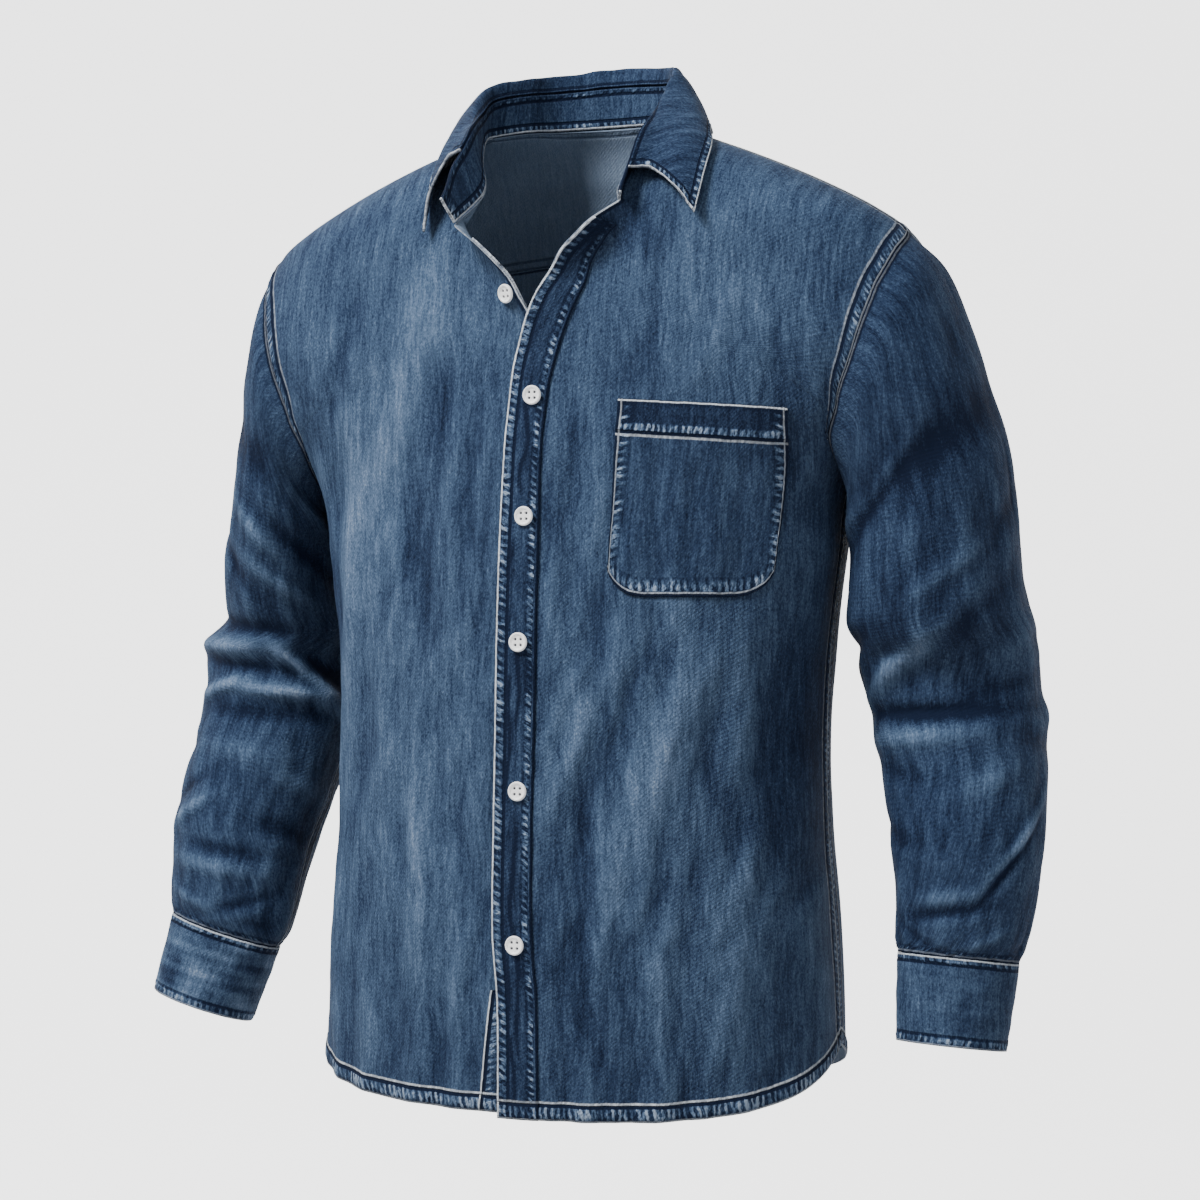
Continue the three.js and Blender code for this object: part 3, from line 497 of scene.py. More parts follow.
def armhole(curve, part, side):
    """Angle, height and place on an armhole, part of the way from the shoulder to the underarm."""
    angle, height = np.moveaxis(track(curve, part), -1, 0)
    at = on_torso(angle, height)
    at[..., 0] *= side
    return angle * side, height, at


def edge_root(part, side):
    """Angle, height and place of a front's free edge: its root on the torso, and the place drawn away from it
    by the table's amounts."""
    x, height, *away = np.moveaxis(track(LEFT_EDGE if side > 0 else RIGHT_EDGE, part), -1, 0)
    angle = front_angle(x, height)
    return angle, height, on_torso(angle, height) + np.stack(away, -1)


def front_inner(row, side):
    """A front's inner edge: down the neck seam, then down the free edge."""
    station = side * mix(YOKE_NECK, 7, np.clip(row / NECK_PART, 0, 1))
    seam = track(COLLAR, station)[..., :3]
    height = seam[..., 2].copy()
    for _ in range(14):
        height += 40 * (1 - reach(seam[..., 0], seam[..., 1], height))
    begin = edge_root(np.zeros(1), side)
    drawn = smooth(0.55, 1, row / NECK_PART)
    angle = mix(angle_through(seam[..., 0], seam[..., 1], height), begin[0], drawn)
    height = mix(height, begin[1], drawn)
    below = edge_root(np.clip((row - NECK_PART) / (1 - NECK_PART), 0, 1), side)
    upper = row < NECK_PART
    at = np.where(upper[..., None], seam, below[2])
    return np.where(upper, angle, below[0]), np.where(upper, height, below[1]), at


def front_outer(row, side):
    """A front's outer edge: down the armhole, then down the side seam."""
    arm = armhole(ARMHOLE_FRONT, np.clip(row / ARMHOLE_PART, 0, 1), side)
    height = mix(SIDE_SEAM_TOP, SIDE_SEAM_END, np.clip((row - ARMHOLE_PART) / (1 - ARMHOLE_PART), 0, 1))
    angle = np.full(np.shape(row), 89.95 * side)
    at = on_torso(angle, height)
    upper = row < ARMHOLE_PART
    return (
        np.where(upper, arm[0], angle),
        np.where(upper, arm[1], height),
        np.where(upper[..., None], arm[2], at),
    )


def between(inner, outer, part, curve, inner_hold, outer_hold=0.12):
    """Cloth between two edges. The angle goes evenly from one to the other, the height by part to a power.
    Near each edge the place is moved by that edge's own distance from the torso, fading with a square."""
    height = mix(inner[1], outer[1], part ** curve)
    place = on_torso(mix(inner[0], outer[0], part), height)
    inner_away = inner[2] - on_torso(inner[0], inner[1])
    outer_away = outer[2] - on_torso(outer[0], outer[1])
    place = place + inner_away * (np.clip(1 - part / inner_hold, 0, 1) ** 2)[..., None]
    return place + outer_away * (np.clip(1 - (1 - part) / outer_hold, 0, 1) ** 2)[..., None]


def outward(place):
    """Level and square to the torso's section."""
    half, middle, forward, behind = section(place[..., 2])
    depth = np.where(place[..., 1] < middle, forward, behind)
    away = np.stack([place[..., 0] / half**2, (place[..., 1] - middle) / depth**2, 0 * half], -1)
    return away / np.linalg.norm(away, axis=-1, keepdims=True)


def creases(table, x, z):
    """Soft ridges and troughs: each a bell across its line, bowed sideways, and fading at its ends."""
    rise = np.zeros(np.shape(x))
    for x0, z0, x1, z1, bow, width, height in table:
        length = math.hypot(x1 - x0, z1 - z0)
        along = ((x - x0) * (x1 - x0) + (z - z0) * (z1 - z0)) / length**2
        off = ((x - x0) * (z1 - z0) - (z - z0) * (x1 - x0)) / length
        off = off - bow * 4 * along * (1 - along)
        ends = smooth(-0.1, 0.25, along) * smooth(1.15, 0.7, along)
        rise += height * ends * np.exp(-((off / width) ** 2))
    return rise


def sleeve_creases(table, angle, z):
    """Soft ridges and troughs round the arm: a bell across the line and a bell along it."""
    rise = np.zeros(np.shape(angle))
    for centre, height, slope, turn, width, depth in table:
        off = (angle - centre + 180) % 360 - 180
        across = (z - height + slope * off) / width
        rise += depth * np.exp(-(across**2)) * np.exp(-((off / turn) ** 2))
    return rise


def patches(table, x, z):
    """Sum of soft ovals: each its strength times a bell of its scaled distance."""
    total = np.zeros(np.shape(x))
    for x0, z0, wide, tall, strength in table:
        total += strength * np.exp(-(((x - x0) / wide) ** 2) - ((z - z0) / tall) ** 2)
    return total


def ripple(seed, first, second, size):
    """Uneven waves between -1 and 1: a mean of sines in seeded directions, about one size long."""
    dice = np.random.default_rng(seed)
    total = np.zeros(np.shape(first))
    for _ in range(9):
        turn = dice.uniform(0, math.tau)
        pace = math.tau / (size * dice.uniform(0.7, 1.6))
        start = dice.uniform(0, math.tau)
        total += np.sin(pace * (first * math.cos(turn) + second * math.sin(turn)) + start)
    return total / 3.2


def sharpened(rise, amount):
    """A crease relief for painted shade and wear, with its hollows deepened and its ridges raised: less its
    second differences both ways.
    """
    bend = np.gradient(np.gradient(rise, axis=0), axis=0) + np.gradient(np.gradient(rise, axis=1), axis=1)
    return rise - amount * bend


def run_lengths(places):
    """Distances along each row from its first column, and down each column from its first row."""
    across = np.zeros(places.shape[:2])
    down = np.zeros(places.shape[:2])
    across[:, 1:] = np.cumsum(np.linalg.norm(np.diff(places, axis=1), axis=-1), axis=1)
    down[1:] = np.cumsum(np.linalg.norm(np.diff(places, axis=0), axis=-1), axis=0)
    return across, down


def normals(places, sign):
    """Square to the surface: the cross product of its two directions."""
    away = np.cross(np.gradient(places, axis=1), np.gradient(places, axis=0)) * sign
    return away / np.maximum(np.linalg.norm(away, axis=-1, keepdims=True), 1e-9)


def parts(columns, rows):
    """Part across and part down at each point of a grid."""
    return np.meshgrid(np.linspace(0, 1, columns + 1), np.linspace(0, 1, rows + 1))


def mesh_of(name, vertices, faces, values, finish):
    """A smooth mesh in metres, with a number for each vertex under each name in values."""
    mesh = bpy.data.meshes.new(name)
    mesh.from_pydata((vertices / 1000).tolist(), [], faces.tolist())
    for key, numbers in values.items():
        layer = mesh.attributes.new(key, "FLOAT", "POINT")
        layer.data.foreach_set("value", np.ascontiguousarray(numbers, dtype=np.float32).ravel())
    mesh.polygons.foreach_set("use_smooth", np.ones(len(mesh.polygons), dtype=bool))
    mesh.materials.append(finish)
    mesh.validate()
    mesh.update()
    thing = bpy.data.objects.new(name, mesh)
    bpy.context.scene.collection.objects.link(thing)
    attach(thing, "root")
    return thing


def wall_faces(rows, columns):
    """Quads of a closed wall: an inner and an outer layer of a grid, joined round the rim."""
    wide = columns + 1
    layer = wide * (rows + 1)
    first = (np.arange(rows)[:, None] * wide + np.arange(columns)).ravel()
    inner = np.stack([first, first + wide, first + wide + 1, first + 1], -1)
    outer = np.stack([first, first + 1, first + wide + 1, first + wide], -1) + layer
    top = np.arange(columns)
    bottom = top + rows * wide
    left = np.arange(rows) * wide
    right = left + columns
    rim = [
        np.stack([top, top + 1, top + 1 + layer, top + layer], -1),
        np.stack([bottom, bottom + layer, bottom + 1 + layer, bottom + 1], -1),
        np.stack([left, left + layer, left + wide + layer, left + wide], -1),
        np.stack([right, right + wide, right + wide + layer, right + layer], -1),
    ]
    return np.concatenate([inner, outer, *rim])


def girth(places):
    """Distance round the torso from its middle line, at the level of each place: the section's arc."""
    half, middle, forward, behind = section(np.minimum(places[..., 2], -150))
    depth = np.where(places[..., 1] < middle, forward, behind)
    x = np.abs(places[..., 0])
    by_angle = np.arctan2(x / half, np.abs(places[..., 1] - middle) / depth)
    by_width = np.arcsin(np.clip(x / half, 0, 1))
    turn = mix(by_angle, by_width, smooth(-300, -180, places[..., 2]))
    steps = (np.arange(24) + 0.5) / 24
    angles = turn[..., None] * steps
    rate = np.hypot(half[..., None] * np.cos(angles), depth[..., None] * np.sin(angles))
    return np.sign(places[..., 0]) * rate.mean(-1) * turn


def cloth(node, finish, places, low, high, relief, fade, rough, tube=False, doubled=False, weft=None, lap=None):
    """A sheet of cloth over a grid of places: a closed wall from a low to a high distance along its normal.
    The normal points away from the torso's axis, or from the middle of each row of a tube. Each vertex keeps
    its distance from the four edges, its run along the weave, how pale it is by fading and painted shade, and
    its creases' wear and painted shade. Rough gives the bumps from these runs, and lap the distance from a
    seam that shows through."""
    heart = places.mean(axis=1, keepdims=True) if tube else places * [0, 0, 1] + [0, 5, 0]
    away = normals(places, 1)
    sign = np.sign(((places - heart) * away).sum())
    away = away * sign
    across, down = run_lengths(places)
    values = {"left": across, "right": across[:, -1:] - across, "top": down, "bottom": down[-1:] - down}
    run = values | {"across": across, "down": down, "near": np.minimum(values["left"], values["right"])}
    bumps = rough(run)
    high = high + bumps
    low = low + bumps * 0.5
    faces = wall_faces(across.shape[0] - 1, across.shape[1] - 1)
    layers = [places + away * distance[..., None] for distance in (low, high)]
    vertices = np.concatenate([layer.reshape(-1, 3) for layer in layers])
    if sign < 0:
        faces = faces[:, ::-1]
    centre = across.shape[1] // 2
    values["weft"] = across - across[:, centre : centre + 1] if weft is None else weft
    values["warp"] = down
    values["relief"] = np.broadcast_to(relief, across.shape)
    values["fade"] = np.broadcast_to(fade, across.shape)
    if lap is not None:
        values["lap"] = lap(run)
    both = {key: np.concatenate([np.ravel(v), np.ravel(v)]) for key, v in values.items()}
    both["inside"] = np.concatenate([np.full(across.size, 0.0 if doubled else 1.0), np.zeros(across.size)])
    thing = mesh_of("cloth_" + node, vertices, faces, both, finish)
    grids[node] = places
    slot, width, length, area, held, rests_on = CUTS[node]
    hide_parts(node)
    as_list(rests_on)
    return thing


def hand(side):
    """The side in words: 1 is the wearer's left, -1 the right."""
    return "left" if side > 0 else "right"


# Sewn edges in relief
def band(distance, width, height=0.8):
    """A doubled edge: rises at its rim, stays level, and drops at its stitched line."""
    return height * smooth(-0.2, 0.8, distance) * smooth(width + 0.8, width - 0.4, distance)


def puckers(run, edge, width, seed, size=6.5, height=0.45, line=0.0):
    """Small humps drawn up along an edge, or a line this far in from it: uneven waves along it, strongest a
    little past halfway across its band."""
    distance = np.abs(run[edge] - line)
    along = run["across" if edge in ("top", "bottom") else "down"]
    across = np.exp(-(((distance - width * 0.62) / (width * 0.5)) ** 2))
    waves = np.sin(math.tau * along / size + 1.6 * ripple(seed, along, distance, 17))
    return height * across * (0.6 * waves + 0.5 * ripple(seed + 1, along, distance * 2, 8))


def hem(run, seed):
    """The hem: its raised band and the puckers along it."""
    return band(run["bottom"], HEM_BAND, 0.9) + puckers(run, "bottom", HEM_BAND, seed, 4.8, 0.5)


# Shader values
class Wire:
    """A socket that Python's operators work on: each adds the Math node that it names."""

    def __init__(self, tree, socket):
        """Keeps the tree and the socket in it."""
        self.tree = tree
        self.socket = socket

    def math(self, operation, *others):
        """The Math node of this value and any others, in this order."""
        values = dict(enumerate([self, *others]))
        return add_node(self.tree, "ShaderNodeMath", {"operation": operation}, values)

    def swapped(self, operation, other):
        """The Math node of another value and this one, in this order."""
        return add_node(self.tree, "ShaderNodeMath", {"operation": operation}, {0: other, 1: self})

    def __add__(self, other):
        """This plus the other."""
        return self.math("ADD", other)

    def __sub__(self, other):
        """This less the other."""
        return self.math("SUBTRACT", other)

    def __mul__(self, other):
        """This times the other."""
        return self.math("MULTIPLY", other)

    def __radd__(self, other):
        """A number plus this."""
        return self.swapped("ADD", other)

    def __rsub__(self, other):
        """A number less this."""
        return self.swapped("SUBTRACT", other)

    def __rmul__(self, other):
        """A number times this."""
        return self.swapped("MULTIPLY", other)

    def between(self, low, high):
        """0 below low, 1 above high, smooth between; falls where low is above high."""
        ends = {1: low, 2: high, 3: 0.0, 4: 1.0} if low < high else {1: high, 2: low, 3: 1.0, 4: 0.0}
        settings = {"interpolation_type": "SMOOTHSTEP"}
        return add_node(self.tree, "ShaderNodeMapRange", settings, {0: self} | ends)


def add_node(tree, kind, settings=None, inputs=None, output=0):
    """Adds a node, sets what it does, then its sockets by number or name: Wires are linked, others set."""
    made = tree.nodes.new(kind)
    for key, value in (settings or {}).items():
        setattr(made, key, value)
    for key, value in (inputs or {}).items():
        if isinstance(value, Wire):
            tree.links.new(value.socket, made.inputs[key])
        else:
            made.inputs[key].default_value = value
    return Wire(tree, made.outputs[output]) if made.outputs else None


def new_material(name):
    """A material, and its node tree, emptied."""
    material = bpy.data.materials.new(name)
    material.use_nodes = True
    material.node_tree.nodes.clear()
    return material, material.node_tree


def surface(tree, inputs):
    """A Principled shader with these inputs, as the material's surface."""
    shader = add_node(tree, "ShaderNodeBsdfPrincipled", {}, inputs)
    add_node(tree, "ShaderNodeOutputMaterial", {}, {"Surface": shader})


def noise(tree, place, scale, detail=2.0, roughness=0.5):
    """Noise around 0, from about -0.5 to 0.5."""
    inputs = {"Vector": place, "Scale": scale, "Detail": detail, "Roughness": roughness}
    return add_node(tree, "ShaderNodeTexNoise", {}, inputs) - 0.5


def value_of(tree, name):
    """The number that a vertex carries under a name."""
    return add_node(tree, "ShaderNodeAttribute", {"attribute_name": name}, output="Fac")


def place_of(tree, x, y, z=0.0):
    """A place from three numbers."""
    return add_node(tree, "ShaderNodeCombineXYZ", {}, {0: x, 1: y, 2: z})


def blend(tree, part, first, second):
    """Colour, part of the way from first to second."""
    settings = {"data_type": "RGBA", "clamp_factor": True}
    return add_node(tree, "ShaderNodeMix", settings, {0: part, 6: first, 7: second}, output=2)


# The denim's colours, from its darkest to its most worn, and those of its inside
DEEP = (0.004, 0.009, 0.026, 1)
DARK = (0.019, 0.036, 0.078, 1)
MID = (0.057, 0.096, 0.165, 1)
PALE = (0.128, 0.190, 0.298, 1)
BRIGHT = (0.280, 0.355, 0.470, 1)
WORN = (0.80, 0.85, 0.90, 1)
INSIDE = (0.175, 0.240, 0.340, 1)
LINT = (0.320, 0.405, 0.530, 1)


def sewn(attribute, run, width, rim=0.8, ticks=0.6, reach=9.0, pitch=5.0, groove=0.4, lip=0.0, shadow=0.0,
         start=0.0):
    """How a sewn edge is worn: its band's width, a rim line, pale ticks between start and reach with their
    pitch, a dark groove at the band's end, a worn lip beyond it, and a shadow's width outside its rim."""
    return attribute, run, width, rim, ticks, reach, pitch, groove, lip, shadow, start


def denim(name, edges, tone=0.0, streak=1.0):
    """Indigo twill, washed. One number says how pale it is: a sum of long slubs, fine yarn, a broken twill
    line, cloudy fading, the vertex's own faded patches and painted shade, and its creases, worn paler on
    their ridges and painted darker with shade in their hollows. With it the colour runs from deep to bright.
    Each sewn edge adds its ticks, groove and painted shadow to that number, and its rim and lip in worn white."""
    material, tree = new_material(name)
    weft, warp = value_of(tree, "weft"), value_of(tree, "warp")
    relief, fade, inside = value_of(tree, "relief"), value_of(tree, "fade"), value_of(tree, "inside")
    place = add_node(tree, "ShaderNodeTexCoord", output="Object")
    sway = noise(tree, place_of(tree, weft * 0.03, warp * 0.022, 5.0), 1.0) * 9.0
    slub = noise(tree, place_of(tree, (weft + sway) * 0.50, warp * 0.045, 3.7), 1.0, 4.0, 0.66)
    drift = noise(tree, place_of(tree, (weft + sway) * 0.11, warp * 0.016, 8.1), 1.0, 3.0, 0.55)
    yarn = noise(tree, place_of(tree, weft * 1.5, warp * 0.5, 1.3), 1.0, 2.0, 0.6)
    cloud = noise(tree, place, 13.0, 4.0, 0.6)
    speck = noise(tree, place, 520.0, 2.0, 0.7)
    wobble = noise(tree, place, 150.0, 2.0, 0.6)
    twill = ((weft + warp * 0.92) * (math.tau / 2.7)).math("SINE") * (yarn * 1.6 + 0.6)
    shade = 0.35 + tone + slub * (0.72 * streak) + drift * 0.46 + yarn * 0.62 + cloud * 0.30 + speck * 0.55
    # Creases paint ridges paler as wear and hollows darker as shade; patches add faded places and painted shade
    shade = shade + twill * 0.016 + fade * 0.22 + relief * 0.095
    height = slub * 0.35 + yarn * 0.7 + twill * 0.12 + speck * 0.4
    worn = 0.0
    stitched = 0.0
    for attribute, run, width, rim, ticks, reach_in, pitch, groove, lip, shadow, start in edges:
        distance = value_of(tree, attribute)
        along = weft if run == "weft" else warp
        edge = distance + wobble * 0.9
        line = edge.between(shadow - 0.3, shadow + 0.2) * edge.between(shadow + 1.6, shadow + 1.0)
        under = distance.between(shadow + 1.0, shadow + 1.8) * distance.between(shadow + 4.6, shadow + 1.9)
        inner = distance.between(shadow + 1.1, shadow + 2.0) * distance.between(width + 0.6, width - 0.8)
        gate = noise(tree, place_of(tree, along * 0.055, distance * 0.02, 6.0), 1.0)
        gate = gate.between(-0.12, 0.1) * 0.6 + 0.4
        teeth = along * (math.tau / pitch) + distance * 0.25 + wobble * 6.0 + sway * 0.9
        teeth = teeth.math("SINE").between(-0.2, 0.6)
        humps = noise(tree, place_of(tree, along * 0.33, distance * 0.12, 2.0), 1.0, 2.0, 0.6)
        humps = humps.between(-0.06, 0.14)
        near = distance.between(reach_in, reach_in * 0.4) * distance.between(start - 1.5, start + 0.5)
        stroke = inner * near * (teeth * 0.7 + humps * 0.7) * gate
        seam = (distance - (width - 0.2)).math("ABSOLUTE").between(1.6, 0.6)
        beyond = (edge - (width + 1.9)).math("ABSOLUTE").between(1.3, 0.4)
        dots = (along * (math.tau / 3.2)).math("SINE").between(-0.4, 0.3)
        band_inside = inner * distance.between(reach_in + 4.0, reach_in)
        shade = shade - band_inside * 0.16 - under * 0.12 + stroke * ticks
        shade = shade - seam * (1.3 - dots * 0.3) * groove
        if shadow:
            shade = shade - distance.between(shadow + 0.1, shadow - 0.4) * 2.0
        mark = (line * rim * (0.85 + slub * 1.4)).math("MAXIMUM", beyond * lip * (0.55 + humps * 0.5))
        worn = mark.math("MAXIMUM", worn)
        height = height + stroke * 1.2 - seam * 1.4 * groove + line * 0.6
        stitched = (seam * groove + line * 0.5).math("MAXIMUM", stitched)
    colour = blend(tree, shade * 4.0, DEEP, DARK)
    for step, paint in enumerate((MID, PALE, BRIGHT)):
        colour = blend(tree, shade * 4.0 - (step + 1.0), colour, paint)
    colour = blend(tree, worn, colour, WORN)
    lining = blend(tree, yarn * 1.6 + slub * 1.2 + 0.45, INSIDE, LINT)
    lining = blend(tree, stitched * 1.2, lining, DARK)
    colour = blend(tree, inside * 0.92, colour, lining)
    bump = add_node(tree, "ShaderNodeBump", {}, {"Strength": 1.0, "Distance": 0.0008, "Height": height})
    gloss = {"Roughness": 0.88 - slub * 0.12, "Specular IOR Level": 0.1}
    surface(tree, {"Base Color": colour, "Normal": bump} | gloss)
    return material


ARM_RIGHT = sewn("right", "warp", FELLED_BAND, rim=0.55, ticks=0.8, pitch=4.6, groove=0.6, lip=0.3)
ARM_LEFT = sewn("left", "warp", FELLED_BAND, rim=0.55, ticks=0.8, pitch=4.6, groove=0.6, lip=0.3)
HEM = sewn("bottom", "weft", HEM_BAND, rim=0.5, ticks=1.1, reach=16.0, pitch=4.4, groove=1.0, lip=0.8)
front_cloth = denim(
    "denim_front",
    [
        ARM_RIGHT,
        HEM,
        sewn("top", "weft", 4, rim=0.6, ticks=0.2, reach=4.0, groove=0.5, lip=0.5),
        sewn("left", "warp", 4, rim=1.0, ticks=0.1, reach=4.0, groove=0.15),
        sewn("lap", "warp", 3, rim=1.0, ticks=0.0, reach=3.0, groove=1.0),
        sewn("lap", "warp", 14, rim=0.0, ticks=0.9, reach=14.0, groove=0.0, start=4.5),
    ],
)
back_cloth = denim(
    "denim_back",
    [ARM_RIGHT, ARM_LEFT, HEM, sewn("top", "weft", 2, rim=0.3, ticks=0.2, reach=4.0, groove=0.3, shadow=0.8)],
)
yoke_cloth = denim(
    "denim_yoke",
    [
        ARM_RIGHT,
        ARM_LEFT,
        sewn("top", "weft", 6, rim=0.5, ticks=0.3, reach=6.0, pitch=6.0, lip=0.5, shadow=0.6),
        sewn("bottom", "weft", 7, rim=0.5, ticks=0.4, reach=7.0, pitch=6.0, lip=0.3, shadow=0.6),
    ],
)
sleeve_cloth = denim(
    "denim_sleeve",
    [
        sewn("top", "weft", 3, rim=0.15, ticks=0.25, reach=8.0, pitch=6.0, groove=0.3, shadow=1.2),
        sewn("bottom", "weft", 5, rim=0.15, ticks=0.6, reach=9.0, groove=0.1, shadow=1.2),
        sewn("left", "warp", 7, rim=0.5, ticks=0.3, reach=7.0, pitch=6.0, groove=0.5, lip=0.3, shadow=0.6),
    ],
    tone=-0.055,
    streak=0.85,
)
strip_cloth = denim(
    "denim_strip",
    [
        sewn("left", "warp", 9, rim=1.0, ticks=0.95, reach=11.0, pitch=6.2, groove=0.5),
        sewn("right", "warp", 8, rim=0.0, ticks=0.95, reach=10.0, pitch=5.4, groove=0.1, shadow=1.2),
        sewn("bottom", "weft", HEM_BAND, rim=0.5, ticks=1.1, reach=16.0, pitch=4.4, groove=1.0, lip=0.5),
    ],
    tone=-0.125,
)
stand_cloth = denim(
    "denim_stand",
    [
        sewn("top", "weft", 5, rim=0.0, ticks=0.5, reach=9.0, pitch=7.0, groove=0.5, shadow=0.3),
        sewn("bottom", "weft", 6, rim=0.7, ticks=0.8, pitch=5.4, groove=0.7, lip=0.0),
        sewn("left", "warp", 12, rim=1.0, ticks=1.2, reach=12.0, pitch=3.8, groove=0.0),
        sewn("right", "warp", 12, rim=1.0, ticks=1.2, reach=12.0, pitch=3.8, groove=0.0),
    ],
    tone=-0.09,
)
leaf_cloth = denim(
    "denim_leaf",
    [
        sewn("bottom", "weft", 7, rim=0.8, ticks=0.9, reach=12.0, pitch=6.5, groove=0.5, lip=0.0),
        sewn("left", "warp", 7, rim=0.8, ticks=0.9, reach=12.0, pitch=6.0, groove=0.5, lip=0.0),
        sewn("right", "warp", 7, rim=0.8, ticks=0.9, reach=12.0, pitch=6.0, groove=0.5, lip=0.0),
        sewn("top", "weft", 3, rim=0.0, ticks=0.3, reach=6.0, pitch=7.0, groove=0.2, shadow=0.3),
    ],
    tone=-0.13,
)
cuff_cloth = denim(
    "denim_cuff",
    [
        sewn("top", "weft", 5, rim=0.65, ticks=0.7, reach=9.0, pitch=6.0, groove=0.45),
        sewn("bottom", "weft", 7, rim=0.3, ticks=0.8, pitch=5.0, groove=0.3),
    ],
    tone=-0.02,
)
pocket_cloth = denim(
    "denim_pocket",
    [
        sewn("left", "warp", 13, rim=0.42, ticks=1.0, reach=14.0, pitch=6.2, groove=0.0, shadow=2.2),
        sewn("right", "warp", 13, rim=0.42, ticks=1.1, reach=14.0, pitch=6.2, groove=0.0, shadow=2.2),
        sewn("bottom", "weft", 14, rim=0.42, ticks=1.1, reach=16.0, pitch=5.6, groove=0.0, shadow=2.2),
        sewn("top", "weft", POCKET_HEM, ticks=1.2, reach=60.0, pitch=4.2, groove=1.0, lip=0.6, shadow=0.5,
             start=18.0),
    ],
    tone=-0.085,
)


# Fronts
def body_rise(x, z):
    """Creases of the front and its slow waves, which run down the cloth."""
    sway = 7 * ripple(9, x * 0.6, z, 110)
    waves = 0.8 * ripple(3, x + sway, z * 0.3, 46) + 0.75 * ripple(4, x + sway, z * 0.2, 19)
    fine = 0.24 * ripple(5, x + sway, z * 0.25, 9)
    return creases(CREASES_FRONT, x, z) + (waves + fine) * smooth(-90, -330, z)


def front_place(side, part, row):
    """A front's cloth between its edges, moved out along the torso's normal by its creases. The left one is
    moved out by what it lies on as well."""
    inner = [value[:, None] for value in front_inner(row[:, 0], side)]
    outer = [value[:, None] for value in front_outer(row[:, 0], side)]
    wide = np.linalg.norm(inner[2] - outer[2], axis=-1) * 1.08
    curve = 1 + 2 * smooth(0.5, 1, row)
    place = between(inner, outer, part, curve, np.minimum(1, 24 / wide))
    away = outward(place)
    rise = body_rise(place[..., 0], place[..., 2]) * smooth(0, 0.15, part) * smooth(1, 0.85, part)
    lift = np.zeros(part.shape)
    if side > 0:
        lift = OVERLAP_LIFT * smooth(48, 22, place[..., 0]) * smooth(-112, -146, place[..., 2])
    return place + away * (rise + lift)[..., None], rise


def front(side):
    """One front: its grid from the free edge to the side seam."""
    part, row = parts(120, 250)
    places, rise = front_place(side, part, row)

    def rough(run):
        """The bands along armhole, side and hem, with their puckers."""
        arm = band(run["right"], FELLED_BAND, 0.9) * smooth(0.42, 0.36, row)
        flank = band(run["right"], 7, 0.4) * smooth(0.36, 0.42, row)
        return arm + flank + hem(run, 21) + puckers(run, "right", FELLED_BAND, 22 + side, 7)

    def lap(run):
        """Distance from the button stand's edge, which slants out from under the placket at the hem."""
        fall = np.clip((LAP_TOP - places[..., 2]) / (LAP_TOP - LAP_END), 0, 1)
        return np.where((fall > 0) & (side < 0), 32.5 + 9.6 * fall - run["left"], -50.0)

    # Crease ridges painted paler as wear and hollows painted darker as shade, from the rise
    relief = sharpened(rise * 0.62, 1)
    fade = patches(FADES_AND_SHADE_FRONT, places[..., 0], places[..., 2])
    return cloth("front_" + hand(side), front_cloth, places, 0.0, CLOTH, relief, fade, rough,
                 weft=girth(places), lap=lap)


def strip_share(side, row):
    """How much of a front's row its strip covers: its width over the row's own length."""
    near = front_place(side, np.full(row.shape, 0.08), row)[0]
    edge = front_place(side, np.zeros(row.shape), row)[0]
    rate = np.linalg.norm(near - edge, axis=-1) / 0.08
    widening = smooth(STRIP_TOP - 0.05, STRIP_TOP + 0.22, row)
    return mix(18 if side > 0 else 22, PLACKET_WIDTH, widening) / rate


def strip(side):
    """The doubled strip along a free edge: outside on the left front, inside on the right one."""
    part, row = parts(20, 250)
    row = mix(STRIP_TOP, 1, row)
    share = strip_share(side, row)
    places, rise = front_place(side, part * share, row)
    level = places[..., 2]

    def rough(run):
        """A slight swell across, and puckers along both stitched edges."""
        wide = run["left"] + run["right"]
        swell = 0.5 * np.sin(math.pi * np.clip(run["left"] / wide, 0, 1))
        humps = puckers(run, "left", 9, 31, 6, 0.5) + puckers(run, "right", 6, 33, 5.5, 0.5)
        return swell + humps * 0.8

    def fold(start, sway, width):
        """Painted shade of a crease down the strip: a bell across it, round a start that sways."""
        return np.exp(-(((part * PLACKET_WIDTH - start - sway) / width) ** 2))

    low, high = (CLOTH + 0.15, CLOTH + 1.5) if side > 0 else (-1.6, -0.2)
    flat = 0 * level
    # Two creases down the strip, painted darker as shade in the colour only
    shaded_crease = fold(17, 2.2 * ripple(35, level, flat, 60), 1.5) * smooth(-0.3, 0.5, ripple(34, level, flat, 90))
    second = fold(11, 2.0 * ripple(36, level, flat, 50), 1.3) * smooth(-0.1, 0.5, ripple(37, level, flat, 70))
    relief = rise - 4.4 * (shaded_crease + 0.8 * second)
    fade = patches(FADES_AND_SHADE_FRONT, places[..., 0], level)
    node = "placket" if side > 0 else "button_stand"
    return cloth(node, strip_cloth, places, low, high, relief, fade, rough, doubled=True)


# Back and yoke
def back_rise(x, z):
    """Creases of the back and its slow waves."""
    sway = 7 * ripple(10, x * 0.6, z, 110)
    waves = 0.6 * ripple(6, x + sway, z * 0.3, 50) + 0.35 * ripple(7, x + sway, z * 0.2, 18)
    return creases(CREASES_BACK, x, z) + waves * smooth(-110, -330, z)


